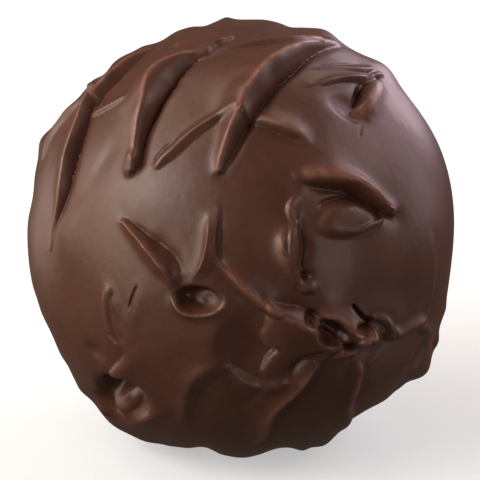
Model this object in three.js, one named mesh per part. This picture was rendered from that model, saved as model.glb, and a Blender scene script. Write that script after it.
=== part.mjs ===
// A hand-rolled dark chocolate truffle: one solid ball of chocolate whose coat was pulled into thin
// leaning folds, curls and pits as it was rolled, and which set on a small flat foot.
//
// Lengths are in millimetres and +Z is up. The origin is on the surface that the truffle stands on,
// under the middle of its outline. Its show face looks along -Y and leans back by FACE_LEAN, and the
// folds there are laid out as on a plan of that face: [across, up] from the ball's middle.
import * as THREE from "three";
import { mergeVertices } from "three/addons/utils/BufferGeometryUtils.js";

// Driving sizes.
const BALL_RADIUS = 15.27;
const FOOT_DROP = 14.45; // from the ball's middle down to the foot
const FACE_LEAN = THREE.MathUtils.degToRad(20);

// How finely the ball is faceted: its longest edge on smooth chocolate and along a crest.
const SMOOTH_EDGE = 2.4;
const CREST_EDGE = 1.2;
const CREST_BAND = 0.2; // edges are at their shortest within this distance of a crest's line
const EDGE_GROWTH = 0.95; // and grow by this much for each millimetre beyond it
const FIRST_CUTS = 7; // the starting ball's cuts along each edge of an icosahedron
const REFINING_PASSES = 3;
const SNAP_SHARE = 0.3; // a corner moves onto a line that crosses one of its sides this near to it
const LOWEST_LAID = 0.3; // folds lower than this are left to the facets as they fall

// What all folds share.
const CREST_HALF_WIDTH = 0.38; // the width of what leans over
const RAGGED_LENGTH = 1.6; // how long the unevenness of a crest is
const SOFT_POWER = 1.2; // how the soft side dies away
const CREASE_POWER = 1.3; // and how the crease does
const WALL_STARTS = -0.6; // how squarely to the right of the line the wall begins to show, from -1 to 1
const WALL_BLEND = 1.2; // and over how much of that it takes over from the soft side
const GROOVE_ENDS = 0.3; // the share of a groove over which each of its ends fades
const LEAST_MEASURE = 0.02;
const LINE_STEPS = 24;

// How far each kind of relief is worked out, in its own widths; beyond that it is too faint to show.
const SOFT_REACH = 3.2;
const CREASE_REACH = 3;
const GROOVE_REACH = 4;
const LUMP_REACH = 3;

// Long shallow swells over the whole ball, from rolling it by hand: [height, length].
const SWELLS = [[0.1, 14], [0.05, 6]];

// A fold is pulled along a line of rows: [across, up, height, wall, soft]. On the line's right hand its
// wall falls steeply into a crease, and on its left the soft side flares out into the ball.
const FOLD = {
  bow: 1.3, // how long the wall stays high before it falls
  hollow: 0.15, // how deep the crease is, as a share of the height
  lean: 0.1, // how far the crest leans over the wall
  blunt: 0.12, // how blunt the crest is
  back: 0.35, // how far the crease takes to come up again
  ragged: 0.1, // how uneven the height is
};

const SHOW_FOLDS = {
  curl: {
    rows: [
      [-1.57, 4.64, 0.26, 0.34, 0.22], [-1.44, 5.47, 0.55, 0.62, 0.24], [-1, 6.79, 0.85, 0.79, 0.28],
      [-0.51, 7.91, 1.1, 0.91, 0.5], [-0.03, 9.01, 1.3, 1.07, 1.1], [0.7, 10.1, 1.45, 1.13, 1.5],
      [1.46, 11.05, 1.45, 1.11, 1.6], [2.63, 11.93, 1.3, 0.99, 1.3], [3.97, 12.83, 0.9, 0.69, 1],
      [5.12, 13.28, 0.45, 0.48, 0.7], [6.34, 13.52, 0.1, 0.45, 0.4],
    ], bow: 2, hollow: 0.4, lean: 0.18, back: 0.26,
  },
  blade: {
    rows: [
      [-7.36, 4.61, 0.24, 0.22, 0.3], [-7.22, 5.24, 0.5, 0.35, 0.42], [-7.16, 6.32, 0.65, 0.45, 0.55],
      [-6.91, 7.53, 0.85, 0.58, 0.8], [-6.59, 8.7, 1.05, 0.86, 1.1], [-6.38, 9.66, 1.15, 1.22, 1.3],
      [-5.94, 10.73, 1.15, 1.51, 1.3], [-4.96, 11.63, 0.95, 1.16, 1], [-3.86, 12.28, 0.6, 0.81, 0.8],
      [-2.63, 12.66, 0.12, 0.53, 0.5],
    ], bow: 2.3, hollow: 0.6, lean: 0.15, back: 0.24,
  },
  longThin: {
    rows: [
      [-5.69, 4.93, 0.2, 0.28, 0.26], [-5.26, 5.41, 0.3, 0.42, 0.3], [-4.59, 5.99, 0.32, 0.5, 0.3],
      [-3.74, 6.79, 0.31, 0.45, 0.3], [-2.75, 7.52, 0.3, 0.36, 0.3], [-1.62, 8.22, 0.28, 0.34, 0.3],
      [-0.69, 8.51, 0.22, 0.3, 0.3], [-0.37, 8.62, 0.08, 0.2, 0.2],
    ], bow: 1.2, hollow: 0.1, lean: 0.04, blunt: 0.14,
  },
  leftCrest: {
    rows: [
      [-13.07, -0.65, 0.04, 0.2, 0.3], [-12.86, 0.65, 0.12, 0.2, 0.4], [-12.47, 1.86, 0.33, 0.17, 0.5],
      [-12.08, 3.12, 0.66, 0.2, 0.8], [-11.75, 4.47, 0.84, 0.23, 0.95], [-11.46, 5.8, 0.9, 0.42, 1],
      [-11.11, 6.82, 0.9, 0.34, 0.9], [-10.82, 7.75, 0.85, 0.38, 0.7], [-10.45, 8.66, 0.8, 0.16, 0.5],
      [-10.04, 9.3, 0.6, 0.2, 0.4],
    ], bow: 1.1, hollow: 0.35, lean: 0.2, back: 0.2,
  },
  leftBranch: {
    rows: [
      [-10.49, 8.14, 0.1, 0.14, 0.2], [-9.84, 8.5, 0.2, 0.16, 0.2], [-9.05, 8.87, 0.2, 0.16, 0.2],
      [-8.28, 9.22, 0.15, 0.14, 0.2], [-7.64, 9.51, 0.04, 0.14, 0.2],
    ], bow: 1.2, hollow: 0.05, lean: 0, back: 0.2,
  },
  upperRim: {
    rows: [
      [-9.97, 9.28, 0.5, 0.3, 0.5], [-9.6, 10.15, 0.7, 0.72, 0.5], [-8.86, 10.88, 0.7, 0.54, 0.6],
      [-8.16, 11.65, 0.6, 0.61, 0.6], [-7.32, 12.42, 0.4, 0.46, 0.5], [-6.37, 13.19, 0.12, 0.4, 0.4],
    ], bow: 1.4, hollow: 0.35, back: 0.4,
  },
  cornerRim: {
    rows: [
      [-13.59, 5.97, 0.15, 0.5, 0.5], [-12.98, 7.2, 0.3, 0.5, 0.6], [-12.18, 8.38, 0.35, 0.5, 0.6],
      [-11.34, 9.28, 0.3, 0.5, 0.5], [-10.9, 9.86, 0.2, 0.4, 0.4],
    ], bow: 1.5, hollow: 0.05, back: 0.3,
  },
  smallRoll: {
    rows: [
      [-2.55, 12.56, 0.15, 0.3, 0.3], [-2.09, 13.12, 0.32, 0.35, 0.32],
      [-1.55, 13.38, 0.36, 0.35, 0.32], [-0.97, 13.66, 0.2, 0.3, 0.3],
    ], bow: 2, hollow: 0.1, lean: 0, blunt: 0.22, back: 0.3,
  },
  topArc: {
    rows: [
      [-2.64, 12.38, 0.1, 0.5, 0.5], [-1.36, 12.78, 0.2, 0.5, 0.5], [-0.02, 13.08, 0.3, 0.55, 0.55],
      [1.5, 13.22, 0.4, 0.6, 0.6], [3.25, 13.26, 0.42, 0.6, 0.6], [5.03, 13.49, 0.2, 0.5, 0.5],
    ], hollow: 0.12, lean: 0, blunt: 0.1, back: 0.5,
  },
  rightBranch: {
    rows: [
      [0.37, 8.11, 0.2, 0.3, 0.4], [1.31, 7.99, 0.34, 0.4, 0.7], [2.34, 7.62, 0.56, 0.42, 0.8],
      [3.25, 7.21, 0.62, 0.42, 0.7], [3.92, 6.92, 0.5, 0.35, 0.45], [4.45, 6.43, 0.14, 0.2, 0.2],
    ], bow: 1.2, hollow: 0.25, blunt: 0.14, back: 0.4,
  },
  shoulderA: {
    rows: [
      [4.6, 11.6, 0.03, 0.2, 0.5], [5.8, 11.64, 0.1, 0.22, 0.5], [7.25, 11.56, 0.2, 0.24, 0.4],
      [8.3, 11.48, 0.28, 0.24, 0.3], [8.95, 11.63, 0.12, 0.2, 0.3],
    ], bow: 1.2, hollow: 0.05, lean: 0.05, blunt: 0.08, back: 0.25,
  },
  shoulderB: {
    rows: [
      [4.69, 10.35, 0.08, 0.3, 0.3], [5.51, 10.53, 0.26, 0.3, 0.28], [6.35, 10.75, 0.36, 0.3, 0.26],
      [7.24, 10.83, 0.42, 0.3, 0.26], [8.27, 10.9, 0.42, 0.3, 0.26], [9.04, 11.12, 0.32, 0.28, 0.25],
      [9.57, 11.21, 0.12, 0.25, 0.2],
    ], bow: 1.2, hollow: 0.05, lean: 0.05, blunt: 0.07,
  },
  strap: {
    rows: [
      [9.43, 10.28, 0.3, 0.99, 0.45], [9.06, 9.45, 0.46, 0.94, 0.5], [8.52, 8.72, 0.42, 0.79, 0.45],
      [8.16, 8.46, 0.12, 0.48, 0.35],
    ], bow: 2.2, hollow: 0.8, blunt: 0.2, back: 0.3,
  },
  earRim: {
    rows: [
      [4.04, 4.39, 0.15, 0.64, 0.9], [4.92, 4.36, 0.5, 0.71, 0.9], [6.03, 4.28, 0.72, 0.77, 0.8],
      [7.07, 4.08, 0.85, 0.69, 0.5], [7.98, 3.75, 0.95, 0.68, 0.3], [8.77, 3.16, 0.95, 0.63, 0.26],
      [9.4, 2.55, 0.85, 0.5, 0.24], [10.11, 2.15, 0.4, 0.64, 0.2],
    ], bow: 2.6, hollow: 0.7, lean: 0.2, blunt: 0.2, back: 0.6,
  },
  earEdge: {
    rows: [
      [9.84, 1.88, 0.3, 0.2, 0.2], [9.31, 1.11, 0.25, 0.25, 0.2], [8.17, 0.56, 0.18, 0.25, 0.2],
      [7.39, 0.23, 0.04, 0.2, 0.2],
    ], bow: 1.6, hollow: 0, lean: 0, blunt: 0.1, back: 0.3,
  },
  earRoot: {
    rows: [
      [3.94, 2.79, 0.05, 0.3, 0.3], [3.49, 2.22, 0.24, 0.35, 0.3], [3.42, 1.69, 0.24, 0.35, 0.3],
      [3.71, 1.17, 0.05, 0.3, 0.3],
    ], bow: 2, hollow: 0.1, lean: 0, blunt: 0.18,
  },
  lip: {
    rows: [
      [3.61, -2.82, 0.2, 0.49, 0.3], [3.27, -2, 0.45, 0.63, 0.35], [3.1, -0.94, 0.6, 0.93, 0.4],
      [3.18, -0.02, 0.55, 0.86, 0.4], [3.54, 0.9, 0.2, 0.33, 0.3],
    ], bow: 1.9, hollow: 0.65, lean: 0.05, back: 0.4,
  },
  lipOuter: {
    rows: [
      [2.99, -2.14, 0.05, 0.2, 0.4], [2.7, -1.34, 0.22, 0.25, 0.4], [2.57, -0.42, 0.28, 0.25, 0.4],
      [2.76, 0.5, 0.08, 0.2, 0.4],
    ], bow: 2, hollow: 0.1, lean: 0, blunt: 0.14, back: 0.25,
  },
  longFold: {
    rows: [
      [6.65, -7.31, 0.4, 0.59, 1], [6.53, -7.06, 0.66, 0.68, 1.1], [5.98, -6.91, 0.78, 0.88, 1.3],
      [4.8, -6.19, 0.82, 0.88, 1.4], [3.87, -5.72, 0.8, 0.91, 1.3], [3, -5.29, 0.7, 0.78, 1],
      [2.2, -4.83, 0.4, 0.45, 0.7], [1.55, -4.49, 0.08, 0.4, 0.5],
    ], bow: 1.6, hollow: 0.3, lean: 0.12, blunt: 0.1, back: 0.45,
  },
  longSlope: {
    rows: [
      [-1.43, -1.57, 0.04, 0.25, 0.5], [-0.81, -2.33, 0.3, 0.34, 0.7], [-0.08, -3.09, 0.52, 0.42, 0.8],
      [0.7, -3.87, 0.58, 0.44, 0.8], [1.48, -4.52, 0.5, 0.42, 0.8], [2.33, -4.96, 0.2, 0.4, 0.8],
    ], bow: 1.2, hollow: 0.35, lean: 0, blunt: 0.1, back: 0.6,
  },
  curlRim: {
    rows: [
      [5.23, -5.31, 0.3, 0.52, 0.6], [5.91, -5.19, 0.66, 1.15, 0.8], [6.68, -5.46, 0.85, 1.35, 0.7],
      [7.29, -5.87, 0.9, 1.3, 0.5], [7.97, -6.28, 0.9, 1.04, 0.3], [8.25, -6.24, 0.8, 1.19, 0.25],
      [9.04, -6.63, 0.4, 0.85, 0.22],
    ], bow: 2.6, hollow: 0.45, lean: 0.15, blunt: 0.18, back: 0.3,
  },
  curlLip: {
    rows: [
      [8.66, -6.26, 0.45, 0.35, 0.25], [7.99, -6.83, 0.42, 0.4, 0.25], [7.6, -7.65, 0.4, 0.4, 0.25],
      [6.43, -7.79, 0.3, 0.35, 0.25], [5.92, -8.11, 0.08, 0.3, 0.3],
    ], bow: 2, hollow: 0.1, lean: 0, blunt: 0.14, back: 0.3,
  },
  skirtEdge: {
    rows: [
      [9.28, -6.08, 0.12, 0.4, 0.3], [9.8, -6.15, 0.3, 0.4, 0.35], [10.1, -6.51, 0.44, 0.45, 0.35],
      [10.53, -6.45, 0.5, 0.5, 0.36], [11.24, -6.09, 0.52, 0.55, 0.34], [11.82, -5.75, 0.52, 0.6, 0.3],
      [12.35, -5.33, 0.4, 0.6, 0.3], [12.63, -4.61, 0.24, 0.5, 0.35], [12.96, -3.21, 0.18, 0.5, 0.4],
      [13.1, -1.67, 0.1, 0.4, 0.4], [13, -0.17, 0.04, 0.4, 0.4],
    ], bow: 1.2, hollow: 0.08, lean: 0.05, blunt: 0.14, back: 0.4,
  },
  knobEdge: {
    rows: [
      [11.99, -5.82, 0.08, 0.4, 0.3], [12.52, -6.17, 0.26, 0.5, 0.3], [13.09, -6.62, 0.1, 0.4, 0.3],
    ], hollow: 0.1, lean: 0, blunt: 0.1, back: 0.4,
  },
  skirtFold: {
    rows: [
      [8.62, -5.7, 0.1, 0.3, 0.3], [9.07, -5.38, 0.24, 0.3, 0.3], [9.71, -5.56, 0.28, 0.3, 0.3],
      [10.04, -5.97, 0.26, 0.25, 0.3], [10.55, -6.34, 0.05, 0.2, 0.2],
    ], bow: 1.2, hollow: 0.2, lean: 0, back: 0.3,
  },
  vLeft: {
    rows: [
      [-8.32, -7.38, 0.03, 0.2, 0.3], [-8.87, -6.45, 0.12, 0.25, 0.25],
      [-9.17, -5.42, 0.15, 0.3, 0.25], [-9.24, -4.33, 0.16, 0.35, 0.28],
      [-9.05, -3.51, 0.16, 0.4, 0.3], [-8.88, -3.21, 0.03, 0.3, 0.3],
    ], bow: 1.1, hollow: 0.1, lean: 0, blunt: 0.1, back: 0.4,
  },
  vMiddle: {
    rows: [
      [-8.21, -5.45, 0.03, 0.6, 0.4], [-8.64, -4.54, 0.12, 0.7, 0.4], [-8.87, -3.72, 0.1, 0.5, 0.4],
      [-8.98, -3.27, 0.02, 0.4, 0.4],
    ], bow: 0.8, hollow: 0.1, lean: 0, blunt: 0.2, back: 0.5,
  },
  vRight: {
    rows: [
      [-6.75, -3.13, 0.03, 0.5, 0.5], [-6.87, -3.79, 0.08, 0.55, 0.5], [-7.14, -4.67, 0.09, 0.6, 0.5],
      [-7.5, -5.62, 0.08, 0.5, 0.5], [-7.95, -6.67, 0.02, 0.4, 0.4],
    ], bow: 1, hollow: 0.1, lean: 0, blunt: 0.3, back: 0.4,
  },
  vStem: {
    rows: [
      [-7.8, -7.34, 0.08, 0.4, 0.6], [-7.5, -8.12, 0.16, 0.45, 0.7], [-7.8, -8.75, 0.24, 0.5, 0.7],
      [-8.42, -9.37, 0.3, 0.5, 0.55], [-9.05, -10.4, 0.2, 0.4, 0.4],
    ], bow: 1.5, hollow: 0.2, lean: 0, blunt: 0.25, back: 0.45,
  },
  peak: {
    rows: [
      [-4.78, -2.74, 0.35, 0.69, 0.3], [-4.99, -2.24, 0.85, 0.82, 0.34],
      [-5.42, -1.67, 1.15, 0.85, 0.38], [-5.91, -1.06, 1.2, 0.69, 0.38], [-6.53, -0.33, 1, 0.44, 0.36],
      [-7.16, 0.34, 0.7, 0.26, 0.32], [-7.89, 1.06, 0.3, 0.25, 0.26],
    ], bow: 0.68, hollow: 0.34, lean: 0.16, blunt: 0.06, back: 1, ragged: 0.25,
  },
  upright: {
    rows: [
      [-3.31, -2.78, 0.06, 0.5, 0.25], [-2.86, -2.13, 0.28, 0.7, 0.24],
      [-2.51, -1.33, 0.38, 0.8, 0.24], [-2.3, -0.29, 0.42, 0.8, 0.24], [-2.21, 0.62, 0.4, 0.75, 0.24],
      [-2.21, 1.29, 0.12, 0.5, 0.22],
    ], bow: 0.8, hollow: 0, lean: 0.02, blunt: 0.08, back: 0.3,
  },
  uprightBack: {
    rows: [
      [-0.94, -2.34, 0.03, 0.15, 0.4], [-1.54, -1.75, 0.2, 0.16, 0.5], [-1.75, -0.95, 0.28, 0.16, 0.5],
      [-1.78, -0.03, 0.3, 0.16, 0.5], [-1.7, 1.02, 0.24, 0.16, 0.5], [-1.56, 1.97, 0.04, 0.15, 0.4],
    ], bow: 1.2, hollow: 0.35, lean: 0, blunt: 0.08, back: 0.4,
  },
  pocketLip: {
    rows: [
      [-1.81, -5.13, 0.06, 0.2, 0.25], [-2.6, -5.19, 0.2, 0.2, 0.25], [-3.44, -5.16, 0.34, 0.22, 0.22],
      [-4.07, -4.87, 0.42, 0.22, 0.2], [-4.43, -4.34, 0.38, 0.22, 0.22],
      [-4.42, -3.69, 0.1, 0.2, 0.25],
    ], bow: 1.8, hollow: 0, lean: 0, blunt: 0.1, back: 0.2,
  },
  step: {
    rows: [
      [-4.04, -12.71, 0.08, 0.35, 0.5], [-3.83, -11.21, 0.26, 0.49, 0.6],
      [-3.53, -10.04, 0.34, 0.66, 0.7], [-2.92, -9.27, 0.34, 0.85, 0.7], [-2, -8.73, 0.24, 0.77, 0.6],
      [-0.83, -8.72, 0.05, 0.41, 0.5],
    ], bow: 1.2, hollow: 0.25, lean: 0, blunt: 0.18, back: 0.6,
  },
  bowlRamp: {
    rows: [
      [-1.1, -9.88, 0.05, 2.15, 0.6], [-1.67, -8.63, 0.16, 3.73, 0.8], [-1.89, -7.38, 0.2, 4.09, 0.9],
      [-1.69, -6.18, 0.18, 3.62, 0.9], [-0.96, -5.21, 0.05, 2.31, 0.7],
    ], bow: 1, hollow: 3.6, lean: 0, blunt: 0.3, back: 0.26, ragged: 0.05,
  },
  bowlFoot: {
    rows: [
      [3.27, -9.93, 0.1, 0.4, 0.4], [1.84, -10.19, 0.3, 0.45, 0.4], [0.38, -9.85, 0.4, 0.45, 0.26],
      [-0.29, -9.46, 0.3, 0.4, 0.24], [-0.96, -8.97, 0.08, 0.4, 0.3],
    ], hollow: 0.2, lean: 0, back: 0.5,
  },
  diagonal: {
    rows: [
      [1.18, -13.87, 0.2, 0.45, 0.5], [1.67, -12.34, 0.46, 0.55, 0.5], [2.36, -11.28, 0.58, 0.6, 0.5],
      [3.2, -10.5, 0.62, 0.6, 0.45], [4, -9.69, 0.6, 0.55, 0.42], [4.73, -8.77, 0.25, 0.45, 0.4],
    ], bow: 1.2, hollow: 0.2, lean: 0.05, blunt: 0.14, back: 0.6,
  },
  sideCrest: {
    rows: [
      [7, -13.55, 0.18, 0.5, 0.6], [7.23, -11.7, 0.38, 0.6, 0.7], [7.57, -10.46, 0.4, 0.6, 0.7],
      [7.83, -9.24, 0.36, 0.5, 0.5], [7.72, -8.46, 0.15, 0.4, 0.4],
    ], hollow: 0.2, lean: 0.03, blunt: 0.14, back: 0.5,
  },
  footLedge: {
    rows: [
      [-7.86, -12.8, 0.1, 0.4, 0.3], [-7.1, -12.57, 0.26, 0.5, 0.4], [-6.22, -12.23, 0.26, 0.5, 0.5],
      [-5.19, -11.87, 0.06, 0.5, 0.5],
    ], bow: 1.4, hollow: 0.1, lean: 0, blunt: 0.18, back: 0.4,
  },
};

// Grooves pressed or torn into the coat, each along a line.
const SHOW_GROOVES = {
  thinGroove: {
    line: [[-5.99, 4.87], [-5.66, 5.54], [-4.99, 6.21], [-4.11, 6.94]],
    depth: 0.12, width: 0.12,
  },
  strapCrease: { line: [[8.32, 8.09], [8.07, 7.31], [7.99, 6.76]], depth: 0.05, width: 0.14 },
  shoulderLine: { line: [[4.74, 11.71], [6.3, 11.84], [8.21, 11.9]], depth: 0.14, width: 0.12 },
  earGroove: {
    line: [[4.97, 1.99], [5.81, 2.47], [6.99, 2.78], [7.96, 2.79], [8.81, 2.45]],
    depth: 0.34, width: 0.2,
  },
  hookThin: {
    line: [[7.33, -4.37], [7.67, -4.78], [8.04, -5.21], [8.62, -5.7]],
    depth: 0.6, width: 0.12,
  },
  hook: {
    line: [[8.37, -5.47], [8.52, -5.67], [8.33, -5.93], [7.85, -6.01], [7.36, -5.71]],
    depth: 1, width: 0.22,
  },
  crossCrease: {
    line: [[2.92, -9.71], [3.55, -8.85], [4.25, -8.18], [5.08, -7.84], [5.83, -7.52]],
    depth: 0.4, width: 0.3,
  },
  vLine: {
    line: [[-6.96, -3.07], [-7.23, -3.6], [-7.51, -4.35], [-7.64, -5.09]],
    depth: 0.15, width: 0.09,
  },
  footGap: {
    line: [[-9.91, -10.41], [-9.46, -11.13], [-8.76, -11.78], [-7.94, -12.25]],
    depth: 0.8, width: 0.5,
  },
  vFootLine: { line: [[-9.2, -6.35], [-8.84, -6.82], [-8.38, -7.31]], depth: 0.12, width: 0.12 },
  lipLine: { line: [[2.96, 0.63], [2.86, -0.48], [2.93, -1.59]], depth: 0.12, width: 0.14 },
  sideValley: {
    line: [[-7.57, 7.65], [-9.58, 4.91], [-11.04, 2.41], [-12.31, 0.1]],
    depth: 0.12, width: 0.7,
  },
};

// Lumps, and dents where the height is below zero: how far they reach across and along, how far they
// are turned anticlockwise in degrees, and how square their edge is.
const LUMP = { turn: 0, edge: 2 };

const SHOW_LUMPS = {
  knob: { at: [-10.33, 10.41], height: 0.45, widths: [0.42, 0.42] },
  bladeTip: { at: [-7.49, 4.89], height: 0.28, widths: [0.55, 0.85], turn: -8, edge: 5 },
  strapPit: { at: [8.05, 9.77], height: -0.6, widths: [0.34, 1], turn: -8, edge: 4 },
  pocket: { at: [-2.9, -4.18], height: -1.3, widths: [1.5, 0.82], turn: -3, edge: 6 },
  pocketGlint: { at: [-2.01, -4.49], height: 0.6, widths: [0.7, 0.55], turn: 10 },
  curlPocket: { at: [6.04, -6.3], height: -1.45, widths: [1.15, 0.88], turn: -40, edge: 5 },
  gapPit: { at: [4.62, -5.4], height: -0.7, widths: [0.52, 0.5], turn: 20, edge: 4 },
  lipPit: { at: [4.31, -2.54], height: -0.45, widths: [0.32, 0.22] },
  footPit: { at: [-8.22, -10.96], height: -2.1, widths: [1.7, 2], turn: -40, edge: 5 },
  footBall: { at: [-7.95, -11.54], height: 1.45, widths: [0.75, 1.4], turn: -40, edge: 3 },
  footRimSpot: { at: [-9.31, -11.78], height: 0.35, widths: [0.5, 0.4], turn: -40 },
  sideDent: { at: [-9.95, -7.84], height: -0.3, widths: [0.8, 0.6], turn: -20 },
  bowl: { at: [0.18, -7.39], height: -0.5, widths: [1.7, 2.3], edge: 3 },
  curlTip: { at: [8.54, -6.16], height: 0.3, widths: [0.32, 0.28] },
  tongue: { at: [7.27, 1.25], height: 0.42, widths: [2.3, 1.1], turn: 14, edge: 7 },
  tab: { at: [4.42, -3.33], height: 0.34, widths: [0.66, 0.42], turn: -8, edge: 5 },
  skirtKnob: { at: [13.47, -7.16], height: 0.45, widths: [0.6, 0.6], turn: -50 },
  skirtDent: { at: [12.15, -8.17], height: -0.4, widths: [0.9, 1.3], turn: -40, edge: 3 },
  skirtPatch: { at: [8.79, -8.37], height: 0.16, widths: [0.7, 0.4], turn: 15 },
  peakTop: { at: [7.85, -8.8], height: 0.3, widths: [0.3, 0.55] },
  roofPit: { at: [-4.71, 13.29], height: -0.3, widths: [0.5, 0.35], turn: 60 },
  shoulderDip: { at: [7.34, 8.89], height: -0.5, widths: [1.45, 1], turn: -12, edge: 3 },
  bowlSpot: { at: [2.55, -9.76], height: 0.22, widths: [0.5, 0.3] },
};

// The rim of the show face as seen from its front: [clock angle in degrees anticlockwise from the
// right, height, width around the rim].
const RIM_LUMPS = [
  [0, -0.32, 4.2], [50, 0.42, 1.4], [68, 0.43, 1.2], [77, -0.15, 0.6], [84, 0.07, 0.8],
  [94, 0.22, 0.5], [100, -0.18, 0.6], [113, -0.37, 1], [120, -0.12, 0.7], [130, -0.33, 0.7],
  [136, -0.15, 0.5], [140, -0.3, 0.8], [147, -0.18, 0.5], [154, 0.42, 1], [169, -0.35, 1.3],
  [186, -0.34, 5], [197, -0.1, 0.8], [207, -0.39, 1.7], [216, -0.13, 0.7], [223.5, 0.23, 0.8],
  [236, 0.63, 2], [245, 0.35, 1.2], [251, 0.1, 0.6], [260, -0.56, 0.8], [270, 0.14, 0.9],
  [280, -0.36, 1.1], [286, 0.25, 0.5], [291.5, 0.39, 0.9], [298, -0.17, 0.7], [304, -0.55, 1.5],
  [314.5, -0.08, 0.5], [319, -0.1, 0.5], [324, 0.73, 1.2], [329, 0.07, 0.5], [332, -0.17, 0.7],
  [341, 0.13, 0.6], [352, -0.54, 3.2],
];
const RIM_DEPTH = 3.2; // how far a rim lump reaches from front to back

// The far side carries folds of the same kinds, spread evenly and turned by chance.
const BACK_FOLDS = 22;
const BACK_START = -0.98; // from straight behind, as a share of the radius towards the front
const BACK_END = -0.38;
const BACK_LENGTH = [5.5, 10.5]; // shortest and longest
const BACK_HEIGHT = [0.45, 1.05];
const BACK_WALL = [0.5, 1.4];
const BACK_SOFT = [0.5, 1.4];
const BACK_LEAN = 0.25; // shares of the height
const BACK_HOLLOW = 0.25;
const BACK_BEND = 0.9; // radians, at most, from one end of a fold to the other
// The rows of such a fold: [place from -1 to 1, share of its height, share of its widths].
const BACK_ROWS = [[-1, 0.15, 0.4], [-0.45, 0.85, 0.8], [0.1, 1, 1], [0.6, 0.7, 0.8], [1, 0.1, 0.3]];

// Lobes where the soft chocolate sagged round the back of the foot before it set.
const FOOT_LOBES = 5;
const FOOT_LOBE_DROP = 0.86; // of the radius, below the middle
const FOOT_LOBE_HEIGHT = [0.15, 0.5];
const FOOT_LOBE_SIZE = [1.6, 3];
const FOOT_LOBE_FLATNESS = 0.8; // its reach up and down, against its reach round the foot
const FOOT_LOBE_STRAY = 0.5; // how far a lobe strays along, as a share of the space between lobes

// The show face's own directions.
const right = new THREE.Vector3(1, 0, 0);
const up = new THREE.Vector3(0, Math.sin(FACE_LEAN), Math.cos(FACE_LEAN));
const toward = new THREE.Vector3(0, -Math.cos(FACE_LEAN), Math.sin(FACE_LEAN));

function onFace([across, high], depth = null) {
  const square = BALL_RADIUS ** 2 - across ** 2 - high ** 2;
  return new THREE.Vector3()
    .addScaledVector(right, across)
    .addScaledVector(up, high)
    .addScaledVector(toward, depth ?? Math.sqrt(Math.max(0, square)))
    .setLength(BALL_RADIUS);
}

// A number from 0 to 1 that looks drawn by lot, but is the same each time.
function chance(index, draw) {
  const number = Math.sin(index * 12.9898 + draw * 78.233) * 43758.5453;
  return number - Math.floor(number);
}

function chanceBetween([low, high], index, draw) {
  return low + (high - low) * chance(index, draw);
}

function gentleStep(edge, value) {
  const share = THREE.MathUtils.clamp(value / edge, 0, 1);
  return share * share * (3 - 2 * share);
}

// An even unevenness from -1 to 1: six waves that run in different directions.
const WAVES = 6;
const GOLDEN_ANGLE = Math.PI * (3 - Math.sqrt(5));

function spread(index, count) {
  const height = 1 - (2 * index + 1) / count;
  const radius = Math.sqrt(1 - height * height);
  const turn = index * GOLDEN_ANGLE;
  return new THREE.Vector3(radius * Math.cos(turn), radius * Math.sin(turn), height);
}

const waveDirections = Array.from({ length: WAVES }, (_, wave) => spread(wave, WAVES));

function unevenness(point, length, draw) {
  const sum = waveDirections.reduce((total, direction, wave) => {
    const phase = 2 * Math.PI * chance(wave, draw);
    return total + Math.sin((2 * Math.PI * point.dot(direction)) / length + phase);
  }, 0);
  return sum / WAVES;
}

// Rows of numbers in even steps along a smooth curve that runs through the given rows.
function throughRows(rows, steps) {
  const beyond = (end, inner) => end.map((value, column) => 2 * value - inner[column]);
  const all = [beyond(rows[0], rows[1]), ...rows, beyond(rows.at(-1), rows.at(-2))];
  return repeated(steps + 1, (step) => {
    const place = (step / steps) * (rows.length - 1);
    const from = Math.min(Math.floor(place), rows.length - 2);
    const t = place - from;
    const [before, start, end, after] = all.slice(from, from + 4);
    return start.map((value, column) => {
      const [a, d] = [before[column], after[column]];
      const [b, c] = [value, end[column]];
      const bent = (2 * a - 5 * b + 4 * c - d) * t ** 2 + (3 * b - a - 3 * c + d) * t ** 3;
      return 0.5 * (2 * b + (c - a) * t + bent);
    });
  });
}

// A line on the ball through these places, with the measures that change along it.
function route(places, measures = places.map(() => [])) {
  const rows = places.map((place, index) => [...place.toArray(), ...measures[index]]);
  const steps = throughRows(rows, LINE_STEPS);
  const line = steps.map((row) => new THREE.Vector3(...row.slice(0, 3)).setLength(BALL_RADIUS));
  const widths = steps.map((row) => row.slice(3).map((value) => Math.max(LEAST_MEASURE, value)));
  const middle = line.reduce((sum, point) => sum.add(point), new THREE.Vector3());
  middle.divideScalar(line.length);
  const size = Math.max(...line.map((point) => point.distanceTo(middle)));
  const most = widths[0].map((_, column) => Math.max(...widths.map((row) => row[column])));
  return { line, widths, most, middle, size };
}

// The place on a route nearest to a point of the ball: how far off it is, how squarely it lies to the
// right of the route (1) or to its left (-1), its share along the route, and the measures there.
function nearestOn({ line, widths }, point) {
  let best = { distance: Infinity };
  for (let step = 0; step + 1 < line.length; step += 1) {
    const stretch = new THREE.Vector3().subVectors(line[step + 1], line[step]);
    const offset = new THREE.Vector3().subVectors(point, line[step]);
    const share = THREE.MathUtils.clamp(offset.dot(stretch) / stretch.lengthSq(), 0, 1);
    offset.addScaledVector(stretch, -share);
    const distance = offset.length();
    if (distance < best.distance) best = { distance, offset, stretch, step, share };
  }
  const { distance, offset, stretch, step, share } = best;
  const rightHand = stretch.normalize().cross(point.clone().normalize()).normalize();
  const side = distance > 1e-6 ? offset.dot(rightHand) / distance : 0;
  const measures = widths[step].map((value, column) =>
    THREE.MathUtils.lerp(value, widths[step + 1][column], share));
  return { distance, side, rightHand, place: (step + share) / (line.length - 1), measures };
}

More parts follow.
